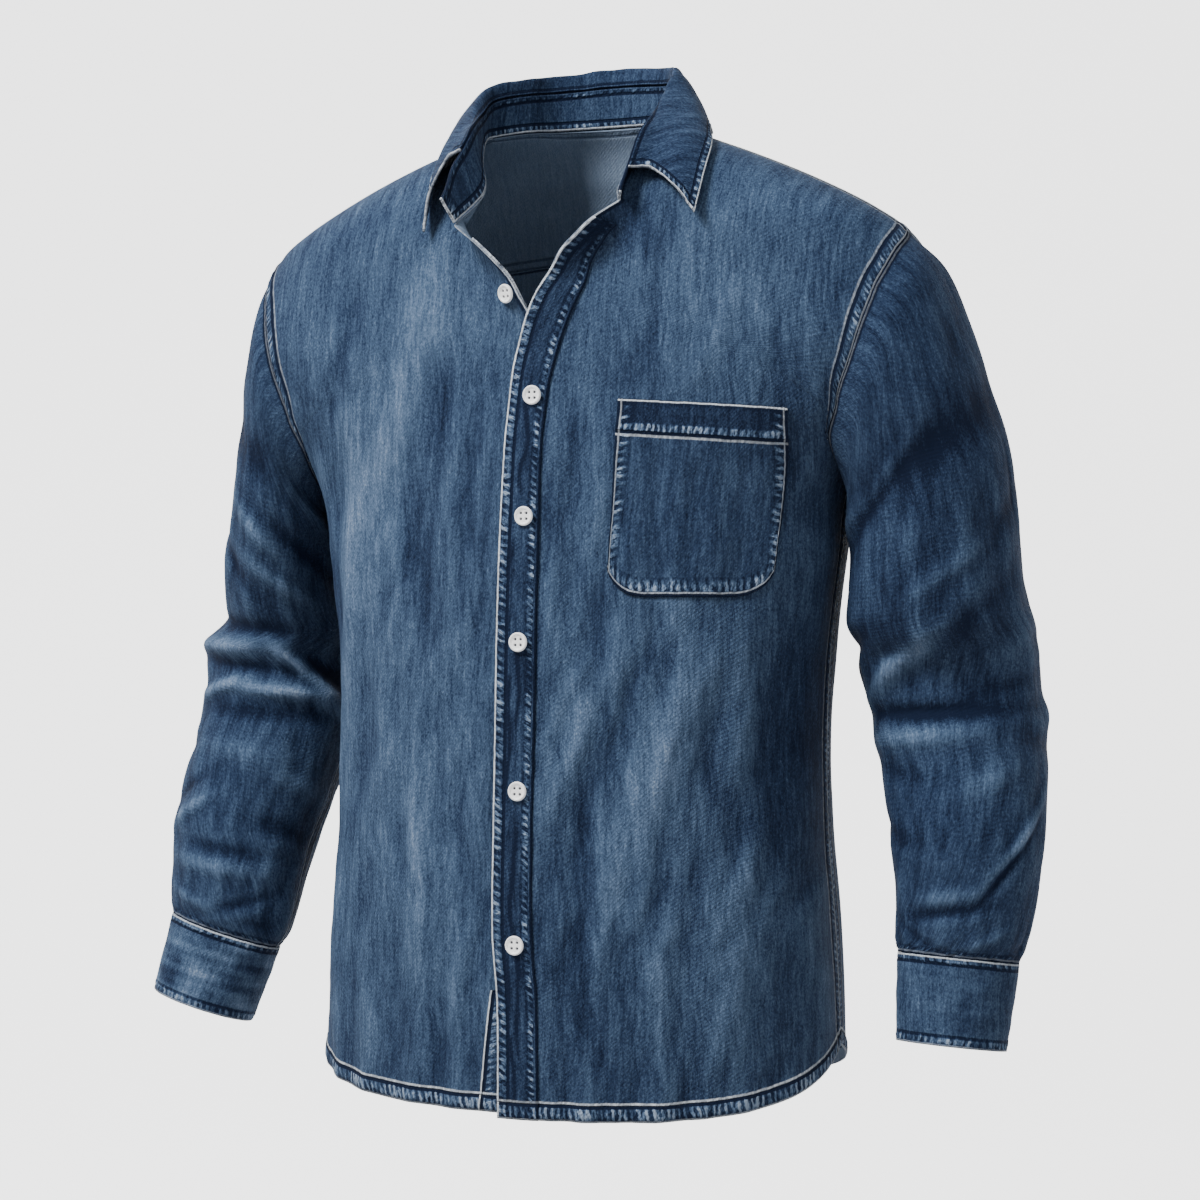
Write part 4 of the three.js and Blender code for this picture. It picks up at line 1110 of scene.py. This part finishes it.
def back():
    """The back panel, from the yoke's seam to the tail."""
    across, row = parts(160, 240)
    part = np.abs(across * 2 - 1)
    side = np.where(across < 0.5, -1, 1)
    share = 10 * (1 - YOKE_AT_ARMHOLE) / 24
    down = row[:, :1]
    arm = armhole(ARMHOLE_BACK, mix(YOKE_AT_ARMHOLE, 1, np.clip(down / share, 0, 1)), 1)
    height = mix(SIDE_SEAM_TOP, SIDE_SEAM_END, np.clip((down - share) / (1 - share), 0, 1))
    upper = down < share
    angle = np.where(upper, arm[0], 90.05)
    outer_height = np.where(upper, arm[1], height)
    middle = mix(YOKE_BACK, HEM_BACK, row)
    turn = mix(180, angle, part)
    place = on_torso(turn, mix(middle, outer_height, part ** mix(2, 1.3, row)))
    place[..., 0] *= side
    rise = back_rise(place[..., 0], place[..., 2]) * smooth(1, 0.85, part) * smooth(0, 0.06, row)
    place = place + outward(place) * rise[..., None]

    def rough(run):
        """The bands along the armholes and the hem, with their puckers."""
        arms = band(run["near"], FELLED_BAND, 0.9) * smooth(share + 0.03, share - 0.03, row)
        return arms + hem(run, 41) + puckers(run, "near", FELLED_BAND, 43, 7)

    # Crease ridges painted paler as wear and hollows painted darker as shade, from the rise
    relief = sharpened(rise * 0.62, 1)
    fade = patches(FADES_BACK, place[..., 0], place[..., 2])
    return cloth("back", back_cloth, place, 0.0, CLOTH, relief, fade, rough, weft=girth(place))


def yoke():
    """From the front seams and the back of the neck, along arcs round the chest's heart, to the back seam."""
    heart = np.array([0.0, 10.0, -170.0])
    u, v = parts(170, 60)
    first = u[:1]

    def on_cloth(way):
        """Where each way from the heart leaves the torso, found by halving the distance."""
        low = np.full(way.shape[:-1], 20.0)
        high = np.full(way.shape[:-1], 420.0)
        for _ in range(36):
            middle = (low + high) / 2
            at = heart + way * middle[..., None]
            near = (at[..., 2] < 18) & (reach(at[..., 0], at[..., 1], at[..., 2]) < 1)
            low = np.where(near, middle, low)
            high = np.where(near, high, middle)
        return heart + way * low[..., None]

    def front_seam(part, side):
        """The top edge of a front, part of the way from the neck to the armhole."""
        inner = [value[:, None] for value in front_inner(np.zeros(1), side)]
        outer = [value[:, None] for value in front_outer(np.zeros(1), side)]
        return between(inner, outer, part, 1, 0.12)

    shoulder = 0.3
    start = track(COLLAR, mix(-YOKE_NECK, YOKE_NECK, (first - shoulder) / (1 - 2 * shoulder)))[..., :3]
    for side, away in ((-1, first), (1, 1 - first)):
        seam = front_seam(np.clip(1 - away / shoulder, 0, 1), side)
        start = np.where((away < shoulder)[..., None], seam, start)
    part = np.abs(first * 2 - 1)
    arm = armhole(ARMHOLE_BACK, np.full(1, YOKE_AT_ARMHOLE), 1)
    end = on_torso(mix(180, arm[0], part), mix(YOKE_BACK, arm[1], part**2))
    end[..., 0] *= np.where(first < 0.5, -1, 1)
    origin, target = start - heart, end - heart
    origin_way = origin / np.linalg.norm(origin, axis=-1, keepdims=True)
    target_way = target / np.linalg.norm(target, axis=-1, keepdims=True)
    turn = np.arccos(np.clip((origin_way * target_way).sum(-1, keepdims=True), -1, 1))
    down = v[..., None]
    way = origin_way * np.sin((1 - down) * turn) + target_way * np.sin(down * turn)
    way /= np.linalg.norm(way, axis=-1, keepdims=True)
    away = start - on_cloth(origin_way)
    place = on_cloth(way) + away * np.clip(1 - down / 0.3, 0, 1) ** 2
    hold = np.clip(1 - np.minimum(u, 1 - u) / 0.12, 0, 1)[..., None] ** 2
    for side, column in ((-1, 0), (1, -1)):
        seam = armhole(ARMHOLE_BACK, YOKE_AT_ARMHOLE * v[:, 0], side)[2]
        shift = (seam - place[:, column])[:, None]
        place = place + shift * hold * (np.sign(u - 0.5) == side)[..., None]

    def rough(run):
        """The bands along all four edges, with puckers along the lower one."""
        seams = band(run["top"], 6, 0.6) + band(run["bottom"], 7, 0.8)
        return band(run["near"], FELLED_BAND, 0.9) + seams + puckers(run, "bottom", 7, 51, 7)

    return cloth("yoke", yoke_cloth, place, 0.0, CLOTH, 0.0, 0.1, rough)


# Sleeves and cuffs
def ring_place(rings, angle, ring):
    """A tilted ellipse on the ring's centre, its back swung outwards."""
    x, y, z, half, depth, roll, lean, swing = np.moveaxis(track(rings, ring), -1, 0)
    turn, roll, lean = np.radians(angle), np.radians(roll), np.radians(lean)
    round_x, round_y = half * np.cos(turn), -depth * np.sin(turn)
    return np.stack(
        [
            x + round_x * np.cos(roll) + swing * np.clip(-np.sin(turn), 0, 1),
            y + round_y * np.cos(lean),
            z + round_x * np.sin(roll) - round_y * np.sin(lean),
        ],
        -1,
    )


def sleeve_place(rings, table, angle, ring):
    """From the armhole over three rings by cubics, then ring by ring, moved out from the arm's line by its
    creases and waves."""
    column = angle[:1]
    part = np.where(column <= 180, column, 360 - column) / 180
    fore = armhole(ARMHOLE_FRONT, part, 1)[2]
    rear = armhole(ARMHOLE_BACK, part, 1)[2]
    seam = np.where((column <= 180)[..., None], fore, rear)
    knots = [ring_place(rings, column, np.full(column.shape, float(k))) for k in (1, 2, 3)]
    step = knots[0] - seam
    seam = seam + step / np.linalg.norm(step, axis=-1, keepdims=True) * 0.3
    under = np.clip(-np.cos(np.radians(column)), 0, 1)[..., None] ** 2
    seam = seam + under * np.array([2.6, 0, 1.5])
    knots = [seam, *knots]
    slopes = [knots[1] - knots[0], (knots[2] - knots[0]) / 2, (knots[3] - knots[1]) / 2]
    place = ring_place(rings, angle, np.maximum(ring, 1))
    for k in (0, 1):
        u = np.clip(ring - k, 0, 1)[..., None]
        cubic = (
            knots[k] * (1 + 2 * u) * (1 - u) ** 2
            + slopes[k] * u * (1 - u) ** 2
            + knots[k + 1] * u * u * (3 - 2 * u)
            + slopes[k + 1] * u * u * (u - 1)
        )
        place = np.where(((ring >= k) & (ring < k + 1))[..., None], cubic, place)
    centre = track(rings, np.maximum(ring, 1))
    away = place - np.stack([centre[..., 0], centre[..., 1], place[..., 2]], -1)
    away /= np.linalg.norm(away, axis=-1, keepdims=True)
    level = place[..., 2]
    waves = 0.35 * ripple(12, angle, level * 0.3, 15)
    rise = 1.3 * sleeve_creases(table, angle, level) + 0.7 * ripple(8, angle * 0.9, level * 0.5, 36) + waves
    rise = rise * smooth(0.4, 2.2, ring) * smooth(LAST_RING, LAST_RING - 0.8, ring)
    return place + away * rise[..., None], rise


def sleeve(side):
    """A sleeve's tube, closed along the seam under the arm."""
    rings, table = (SLEEVE_LEFT, CREASES_LEFT) if side > 0 else (SLEEVE_RIGHT, CREASES_RIGHT)
    across, down = parts(140, 220)
    angle = (across * 360 + 180) % 360
    angle[:, -1] = 180
    places, rise = sleeve_place(rings, table, angle, down * LAST_RING)
    places = places * np.array([side, 1, 1])

    def rough(run):
        """Gathers that die away above the cuff, and puckers along both ends."""
        gathers = 0.5 * np.sin(run["across"] * 0.42 + ripple(61, run["across"], run["down"], 30))
        gathers = gathers * np.exp(-run["bottom"] / 9)
        return gathers + puckers(run, "bottom", 6, 63, 6, 0.4) + puckers(run, "top", 4, 64, 7, 0.3)

    outside = smooth(60, 0, np.abs((angle + 180) % 360 - 180))
    # Paler on the outside at the elbow; the wearer's left sleeve, away from the key lamp, painted darker as
    # shade
    fade = 0.25 * outside * np.exp(-(((places[..., 2] + 440) / 70) ** 2)) - (0.25 if side > 0 else 0.0)
    # Crease ridges painted paler as wear and hollows painted darker as shade, sharpened, from the rise
    relief = sharpened(rise * 0.72, 2.5)
    return cloth("sleeve_" + hand(side), sleeve_cloth, places, 0.0, CLOTH, relief, fade, rough, tube=True)


def cuff_place(rings, angle, down):
    """Rings carried on along the forearm, a little narrower towards the hand."""
    x, y, z, half, depth, roll, lean, _ = track(rings, LAST_RING)
    roll, lean = math.radians(roll), math.radians(lean)
    along = np.array([math.sin(roll), -math.sin(lean), -math.cos(lean)])
    along /= np.linalg.norm(along)
    turn = np.radians(angle)
    round_x = (half - 4.5 * down) * np.cos(turn)
    round_y = -(depth - down) * np.sin(turn)
    place = np.array([x, y, z]) + along * (0.3 + down * CUFF_LENGTH)[..., None]
    place[..., 0] += round_x * math.cos(roll)
    place[..., 1] += round_y * math.cos(lean)
    place[..., 2] += round_x * math.sin(roll) - round_y * math.sin(lean)
    return place


def cuff(side):
    """A cuff: a doubled band, one end lapped over the other behind the wrist."""
    rings = SLEEVE_LEFT if side > 0 else SLEEVE_RIGHT
    across, down = parts(130, 44)
    angle = (across * 360 + 300) % 360
    angle[:, -1] = 300
    places = cuff_place(rings, angle, down) * np.array([side, 1, 1])

    def rough(run):
        """One end's lap over the other, puckers along both edges, a swell between them and soft waves."""
        lap = 0.9 * smooth(0, 2, run["left"]) * smooth(34, 12, run["left"])
        rims = puckers(run, "top", 6, 71, 6, 0.45) + puckers(run, "bottom", 7, 72, 6, 0.45)
        return lap + rims + 0.4 * np.sin(math.pi * down) + 0.25 * ripple(73, run["across"], run["down"], 22)

    scuffs = ripple(75, across * 50, down * 60, 10)
    fade = 0.6 + 0.9 * scuffs if side < 0 else 0.15 + 0.3 * scuffs
    node = "cuff_" + hand(side)
    return cloth(node, cuff_cloth, places, -0.1, 1.7, 0.0, fade, rough, tube=True, doubled=True)


# Collar
def stand():
    """The collar's stand: from the neck seam up to its top edge, lowered and rounded at both ends."""
    across, up = parts(170, 26)
    station = mix(-7, 7, across)
    row = track(COLLAR, station)
    seam, top = row[..., :3], row[..., 3:6]
    end = smooth(6.3, 7, np.abs(station))
    rise = (top - seam) * mix(0.05, 1 - 0.25 * end, 1 - up)[..., None]

    def rough(run):
        """Puckers along both edges, and a slight swell between them."""
        rims = puckers(run, "bottom", 5, 81, 6, 0.35) + puckers(run, "top", 4, 82, 6, 0.3)
        return rims + 0.2 * np.sin(math.pi * up)

    return cloth("collar_stand", stand_cloth, seam + rise, -0.9, 0.9, 0.0, 0.1, rough, doubled=True)


# The leaf's section: part of the way over it, rise to the fold, fall to the edge, and swell
LEAF_SECTION = [[0, 0, 0, 0], [0.3, 1, 0, 0], [0.65, 1, 0.5, 1], [1, 1, 1, 0]]


def leaf():
    """The collar's leaf: up from the stand, over the fold, and down outside to its edge, a little swollen."""
    across, over = parts(180, 64)
    station = mix(-6, 6, across)
    row = track(COLLAR, station)
    seam, top, fold, edge = row[..., :3], row[..., 3:6], row[..., 6:9], row[..., 9:12]
    base = (top - seam) / np.linalg.norm(top - seam, axis=-1, keepdims=True)
    rise, fall, bulge = np.moveaxis(track(LEAF_SECTION, over), -1, 0)
    place = mix(top + base * 1.2, fold, rise[..., None]) + (edge - fold) * fall[..., None]
    swell = np.stack([fold[..., 0] * 0.04, (fold[..., 1] - 10) * 0.04, np.full(across.shape, 1.5)], -1)
    place = place + swell * bulge[..., None]

    def rough(run):
        """Puckers along the outer edge and both ends, and soft waves."""
        rims = puckers(run, "bottom", 7, 91, 7, 0.5) + puckers(run, "near", 7, 92, 7, 0.5)
        return rims + 0.3 * ripple(93, run["across"], run["down"], 26)

    return cloth("collar_leaf", leaf_cloth, place, -0.9, 0.9, 0.0, 0.1, rough, doubled=True)


# Pocket
def front_depth(x, z):
    """How far forward the left front's cloth lies at a place in front view, read off its own grid."""
    part, row = parts(160, 320)
    places = front_place(1, mix(0.06, 0.99, part), mix(0.1, 0.8, row))[0]
    flat_x, flat_z = x.ravel(), z.ravel()
    u = np.full(z.size, 0.5)
    v = np.full(z.size, 0.4)
    for _ in range(40):
        i, j = u * 160, v * 320
        at = sample(places, i, j)
        step_i = sample(places, i + 1, j) - at
        step_j = sample(places, i, j + 1) - at
        miss_x, miss_z = flat_x - at[:, 0], flat_z - at[:, 2]
        area = step_i[:, 0] * step_j[:, 2] - step_i[:, 2] * step_j[:, 0]
        area = np.where(np.abs(area) < 1e-6, 1e-6, area)
        u = np.clip(u + 0.6 * (miss_x * step_j[:, 2] - miss_z * step_j[:, 0]) / area / 160, 0, 0.99)
        v = np.clip(v + 0.6 * (step_i[:, 0] * miss_z - step_i[:, 2] * miss_x) / area / 320, 0, 0.99)
    return sample(places, u * 160, v * 320)[:, 1].reshape(z.shape)


def sample(points, i, j):
    """Places between a grid's points, by their four neighbours."""
    i0 = np.clip(np.floor(i).astype(int), 0, points.shape[1] - 2)
    j0 = np.clip(np.floor(j).astype(int), 0, points.shape[0] - 2)
    a, b = (i - i0)[:, None], (j - j0)[:, None]
    upper = points[j0, i0] * (1 - a) + points[j0, i0 + 1] * a
    lower = points[j0 + 1, i0] * (1 - a) + points[j0 + 1, i0 + 1] * a
    return upper * (1 - b) + lower * b


def pocket():
    """The pocket: the front's own surface moved out, inside a shield with rounded lower corners."""
    across, down = parts(90, 104)
    side = across * 2 - 1
    half = mix(58.4, 54.6, down)
    over = 0.97 * np.maximum(0, np.abs(side) * half - (half - POCKET_CORNER))
    corner = POCKET_CORNER - np.sqrt(POCKET_CORNER**2 - over**2)
    x = mix(128, 119.5, down) + side * half
    z = mix(-211 - 3.6 * (side + 1), -352 + corner, down)
    places = np.stack([x, front_depth(x, z), z], -1)

    def rough(run):
        """The hem's band at the mouth, and puckers along the sides, the bottom and the hem's line."""
        humps = puckers(run, "near", 6, 101, 6.5, 0.5) + puckers(run, "bottom", 7, 102, 6, 0.6)
        return band(run["top"], POCKET_HEM) + humps + puckers(run, "top", 5, 103, 5, 0.5, POCKET_HEM)

    low = CLOTH + 0.15 + 0.5 * across**3
    return cloth("pocket", pocket_cloth, places, low, low + 1.0, 0.0, 0.05, rough)


front(-1)
front(1)
back()
yoke()
strip(1)
strip(-1)
sleeve(1)
sleeve(-1)
cuff(1)
cuff(-1)
stand()
leaf()
pocket()


# Buttons
def middle_of(node):
    """The middle of a node's box."""
    low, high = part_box(node)
    return np.array((low + high) / 2) * 1000


def way_out(node, under):
    """Square to the cloth under a button, from the nearest place of its grid towards the button."""
    middle = middle_of(node)
    places = grids[under]
    gap = np.linalg.norm(places - middle, axis=-1)
    row, column = np.unravel_index(np.argmin(gap), gap.shape)
    way = normals(places, 1)[row, column]
    return way * np.sign(way @ (middle - places[row, column]))


def shell_finish():
    """Polished white shell: a cool white with faint clouds and a faint painted glow, painted dark as shade in
    its holes.
    """
    material, tree = new_material("button_shell")
    place = add_node(tree, "ShaderNodeTexCoord", output="Object")
    cloud = noise(tree, place, 260.0, 3.0, 0.6)
    hole = value_of(tree, "hole")
    colour = blend(tree, cloud + 0.5, (0.88, 0.88, 0.86, 1), (0.95, 0.95, 0.94, 1))
    # The holes painted near black as their shade
    colour = blend(tree, hole * 1.6, colour, (0.012, 0.016, 0.03, 1))
    # A faint white glow painted over the shell outside its holes, to brighten it
    glow = {"Emission Color": blend(tree, hole, (1, 1, 1, 1), (0, 0, 0, 1)), "Emission Strength": 0.32}
    surface(tree, {"Base Color": colour, "Roughness": cloud * 0.1 + 0.3} | glow)
    return material


shell_white = shell_finish()

# A button's profile from the middle of its face round to that of its back: part of the way, radius and height
BUTTON_PROFILE = [
    [0, 0, 1.7],
    [0.28, 4.0, 1.75],
    [0.38, 4.8, 1.9],
    [0.46, 5.3, 2.6],
    [0.56, 6.0, 3.0],
    [0.66, 6.7, 2.6],
    [0.76, 7.0, 1.4],
    [0.86, 6.2, 0.2],
    [0.93, 4.0, 0.0],
    [1, 0, 0.0],
]


def button(node, away):
    """A rimmed disc with four holes: a profile carried round an axis, with bell-shaped dents at the holes."""
    away = np.asarray(away, float) / np.linalg.norm(away)
    flat = np.cross(away, [0.0, 0.0, 1.0])
    flat /= np.linalg.norm(flat)
    up = np.cross(flat, away)
    turn, along = np.meshgrid(np.linspace(0, math.tau, 48, endpoint=False), np.linspace(0, 1, 40))
    radius, height = np.moveaxis(track(BUTTON_PROFILE, along), -1, 0)
    radius = np.clip(radius, 0.001, BUTTON_RADIUS)
    x, y = radius * np.cos(turn), radius * np.sin(turn)
    hole = np.zeros(x.shape)
    for hx, hy in ((2.1, 2.1), (-2.1, 2.1), (-2.1, -2.1), (2.1, -2.1)):
        hole += np.exp(-(((x - hx) ** 2 + (y - hy) ** 2) / 0.95**2) ** 2)
    hole *= along < 0.5
    height = height - 1.2 * hole - BUTTON_HEIGHT / 2
    places = middle_of(node) + x[..., None] * flat + y[..., None] * up + height[..., None] * away
    rows, columns = x.shape
    ring = np.arange(columns)
    first = (np.arange(rows - 1)[:, None] * columns + ring).ravel()
    second = (np.arange(rows - 1)[:, None] * columns + (ring + 1) % columns).ravel()
    faces = np.stack([first, first + columns, second + columns, second], -1)
    thing = mesh_of("shell_" + node, places.reshape(-1, 3), faces, {"hole": hole}, shell_white)
    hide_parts(node)
    return thing


for number in range(1, 6):
    closed = "button_" + str(number)
    button(closed, outward(middle_of(closed)[None])[0])
for loose, under in (
    ("button_neck", "front_right"),
    ("button_collar", "collar_stand"),
    ("button_cuff_left", "cuff_left"),
    ("button_cuff_right", "cuff_right"),
):
    button(loose, way_out(loose, under))


# Floor, light and camera
def studio_finish():
    """Pale matt paint."""
    material, tree = new_material("pale_floor")
    glow = {"Emission Color": (1, 1, 1, 1), "Emission Strength": 2.4}
    surface(tree, {"Base Color": (0.8, 0.8, 0.8, 1), "Roughness": 0.95} | glow)
    return material


def studio():
    """A floor that curves up into a wall behind: a profile carried along a line across the view."""
    toward = np.array([math.sin(VIEW_TURN), -math.cos(VIEW_TURN), 0])
    aside = np.array([math.cos(VIEW_TURN), math.sin(VIEW_TURN), 0])
    bend = np.linspace(0, math.pi / 2, 17)
    depth = np.concatenate([[6000], -1600 - 1500 * np.sin(bend), [-3100]])
    rise = np.concatenate([[0], 1500 * (1 - np.cos(bend)), [5200]]) - 1050
    across = np.linspace(-6000, 6000, 3)
    places = (
        depth[:, None, None] * toward
        + rise[:, None, None] * np.array([0, 0, 1])
        + across[None, :, None] * aside
    )
    rows, columns = places.shape[:2]
    first = (np.arange(rows - 1)[:, None] * columns + np.arange(columns - 1)).ravel()
    faces = np.stack([first, first + 1, first + columns + 1, first + columns], -1)
    mesh = bpy.data.meshes.new("studio")
    mesh.from_pydata((places.reshape(-1, 3) / 1000).tolist(), [], faces.tolist())
    mesh.materials.append(studio_finish())
    mesh.polygons.foreach_set("use_smooth", np.ones(len(mesh.polygons), dtype=bool))
    floor = bpy.data.objects.new("studio", mesh)
    bpy.context.scene.collection.objects.link(floor)
    floor.visible_diffuse = False


def lamp(name, place, target, size, power):
    """A square soft light at a place, facing a target."""
    light = bpy.data.lights.new(name, "AREA")
    light.energy = power
    light.size = size
    thing = bpy.data.objects.new(name, light)
    thing.location = place
    thing.rotation_euler = (Vector(target) - Vector(place)).to_track_quat("-Z", "Y").to_euler()
    bpy.context.scene.collection.objects.link(thing)


studio()
lamp("key", (-1.2, -2.0, 2.1), (0, 0, -0.35), 1.1, 175)
lamp("fill", (2.4, -1.6, 0.5), (0, 0, -0.35), 1.6, 16)
lamp("rim", (-1.8, 1.5, 1.4), (0, 0, -0.3), 1.2, 14)
world = bpy.data.worlds.new("studio_air")
world.use_nodes = True
world.node_tree.nodes["Background"].inputs[0].default_value = (0.93, 0.95, 1.0, 1)
world.node_tree.nodes["Background"].inputs[1].default_value = 0.36
bpy.context.scene.world = world

camera = bpy.data.cameras.new("camera")
camera.sensor_width = SENSOR
camera.lens = SENSOR * FOCAL / PHOTO_WIDTH
eye = bpy.data.objects.new("camera", camera)
toward = Vector((math.sin(VIEW_TURN), -math.cos(VIEW_TURN), 0))
aside = Vector((math.cos(VIEW_TURN), math.sin(VIEW_TURN), 0))
aim = aside * 0.0136 + Vector((0, 0, -0.354))
eye.location = aim + toward * 2.0
eye.rotation_euler = (-toward).to_track_quat("-Z", "Y").to_euler()
bpy.context.scene.collection.objects.link(eye)
bpy.context.scene.camera = eye
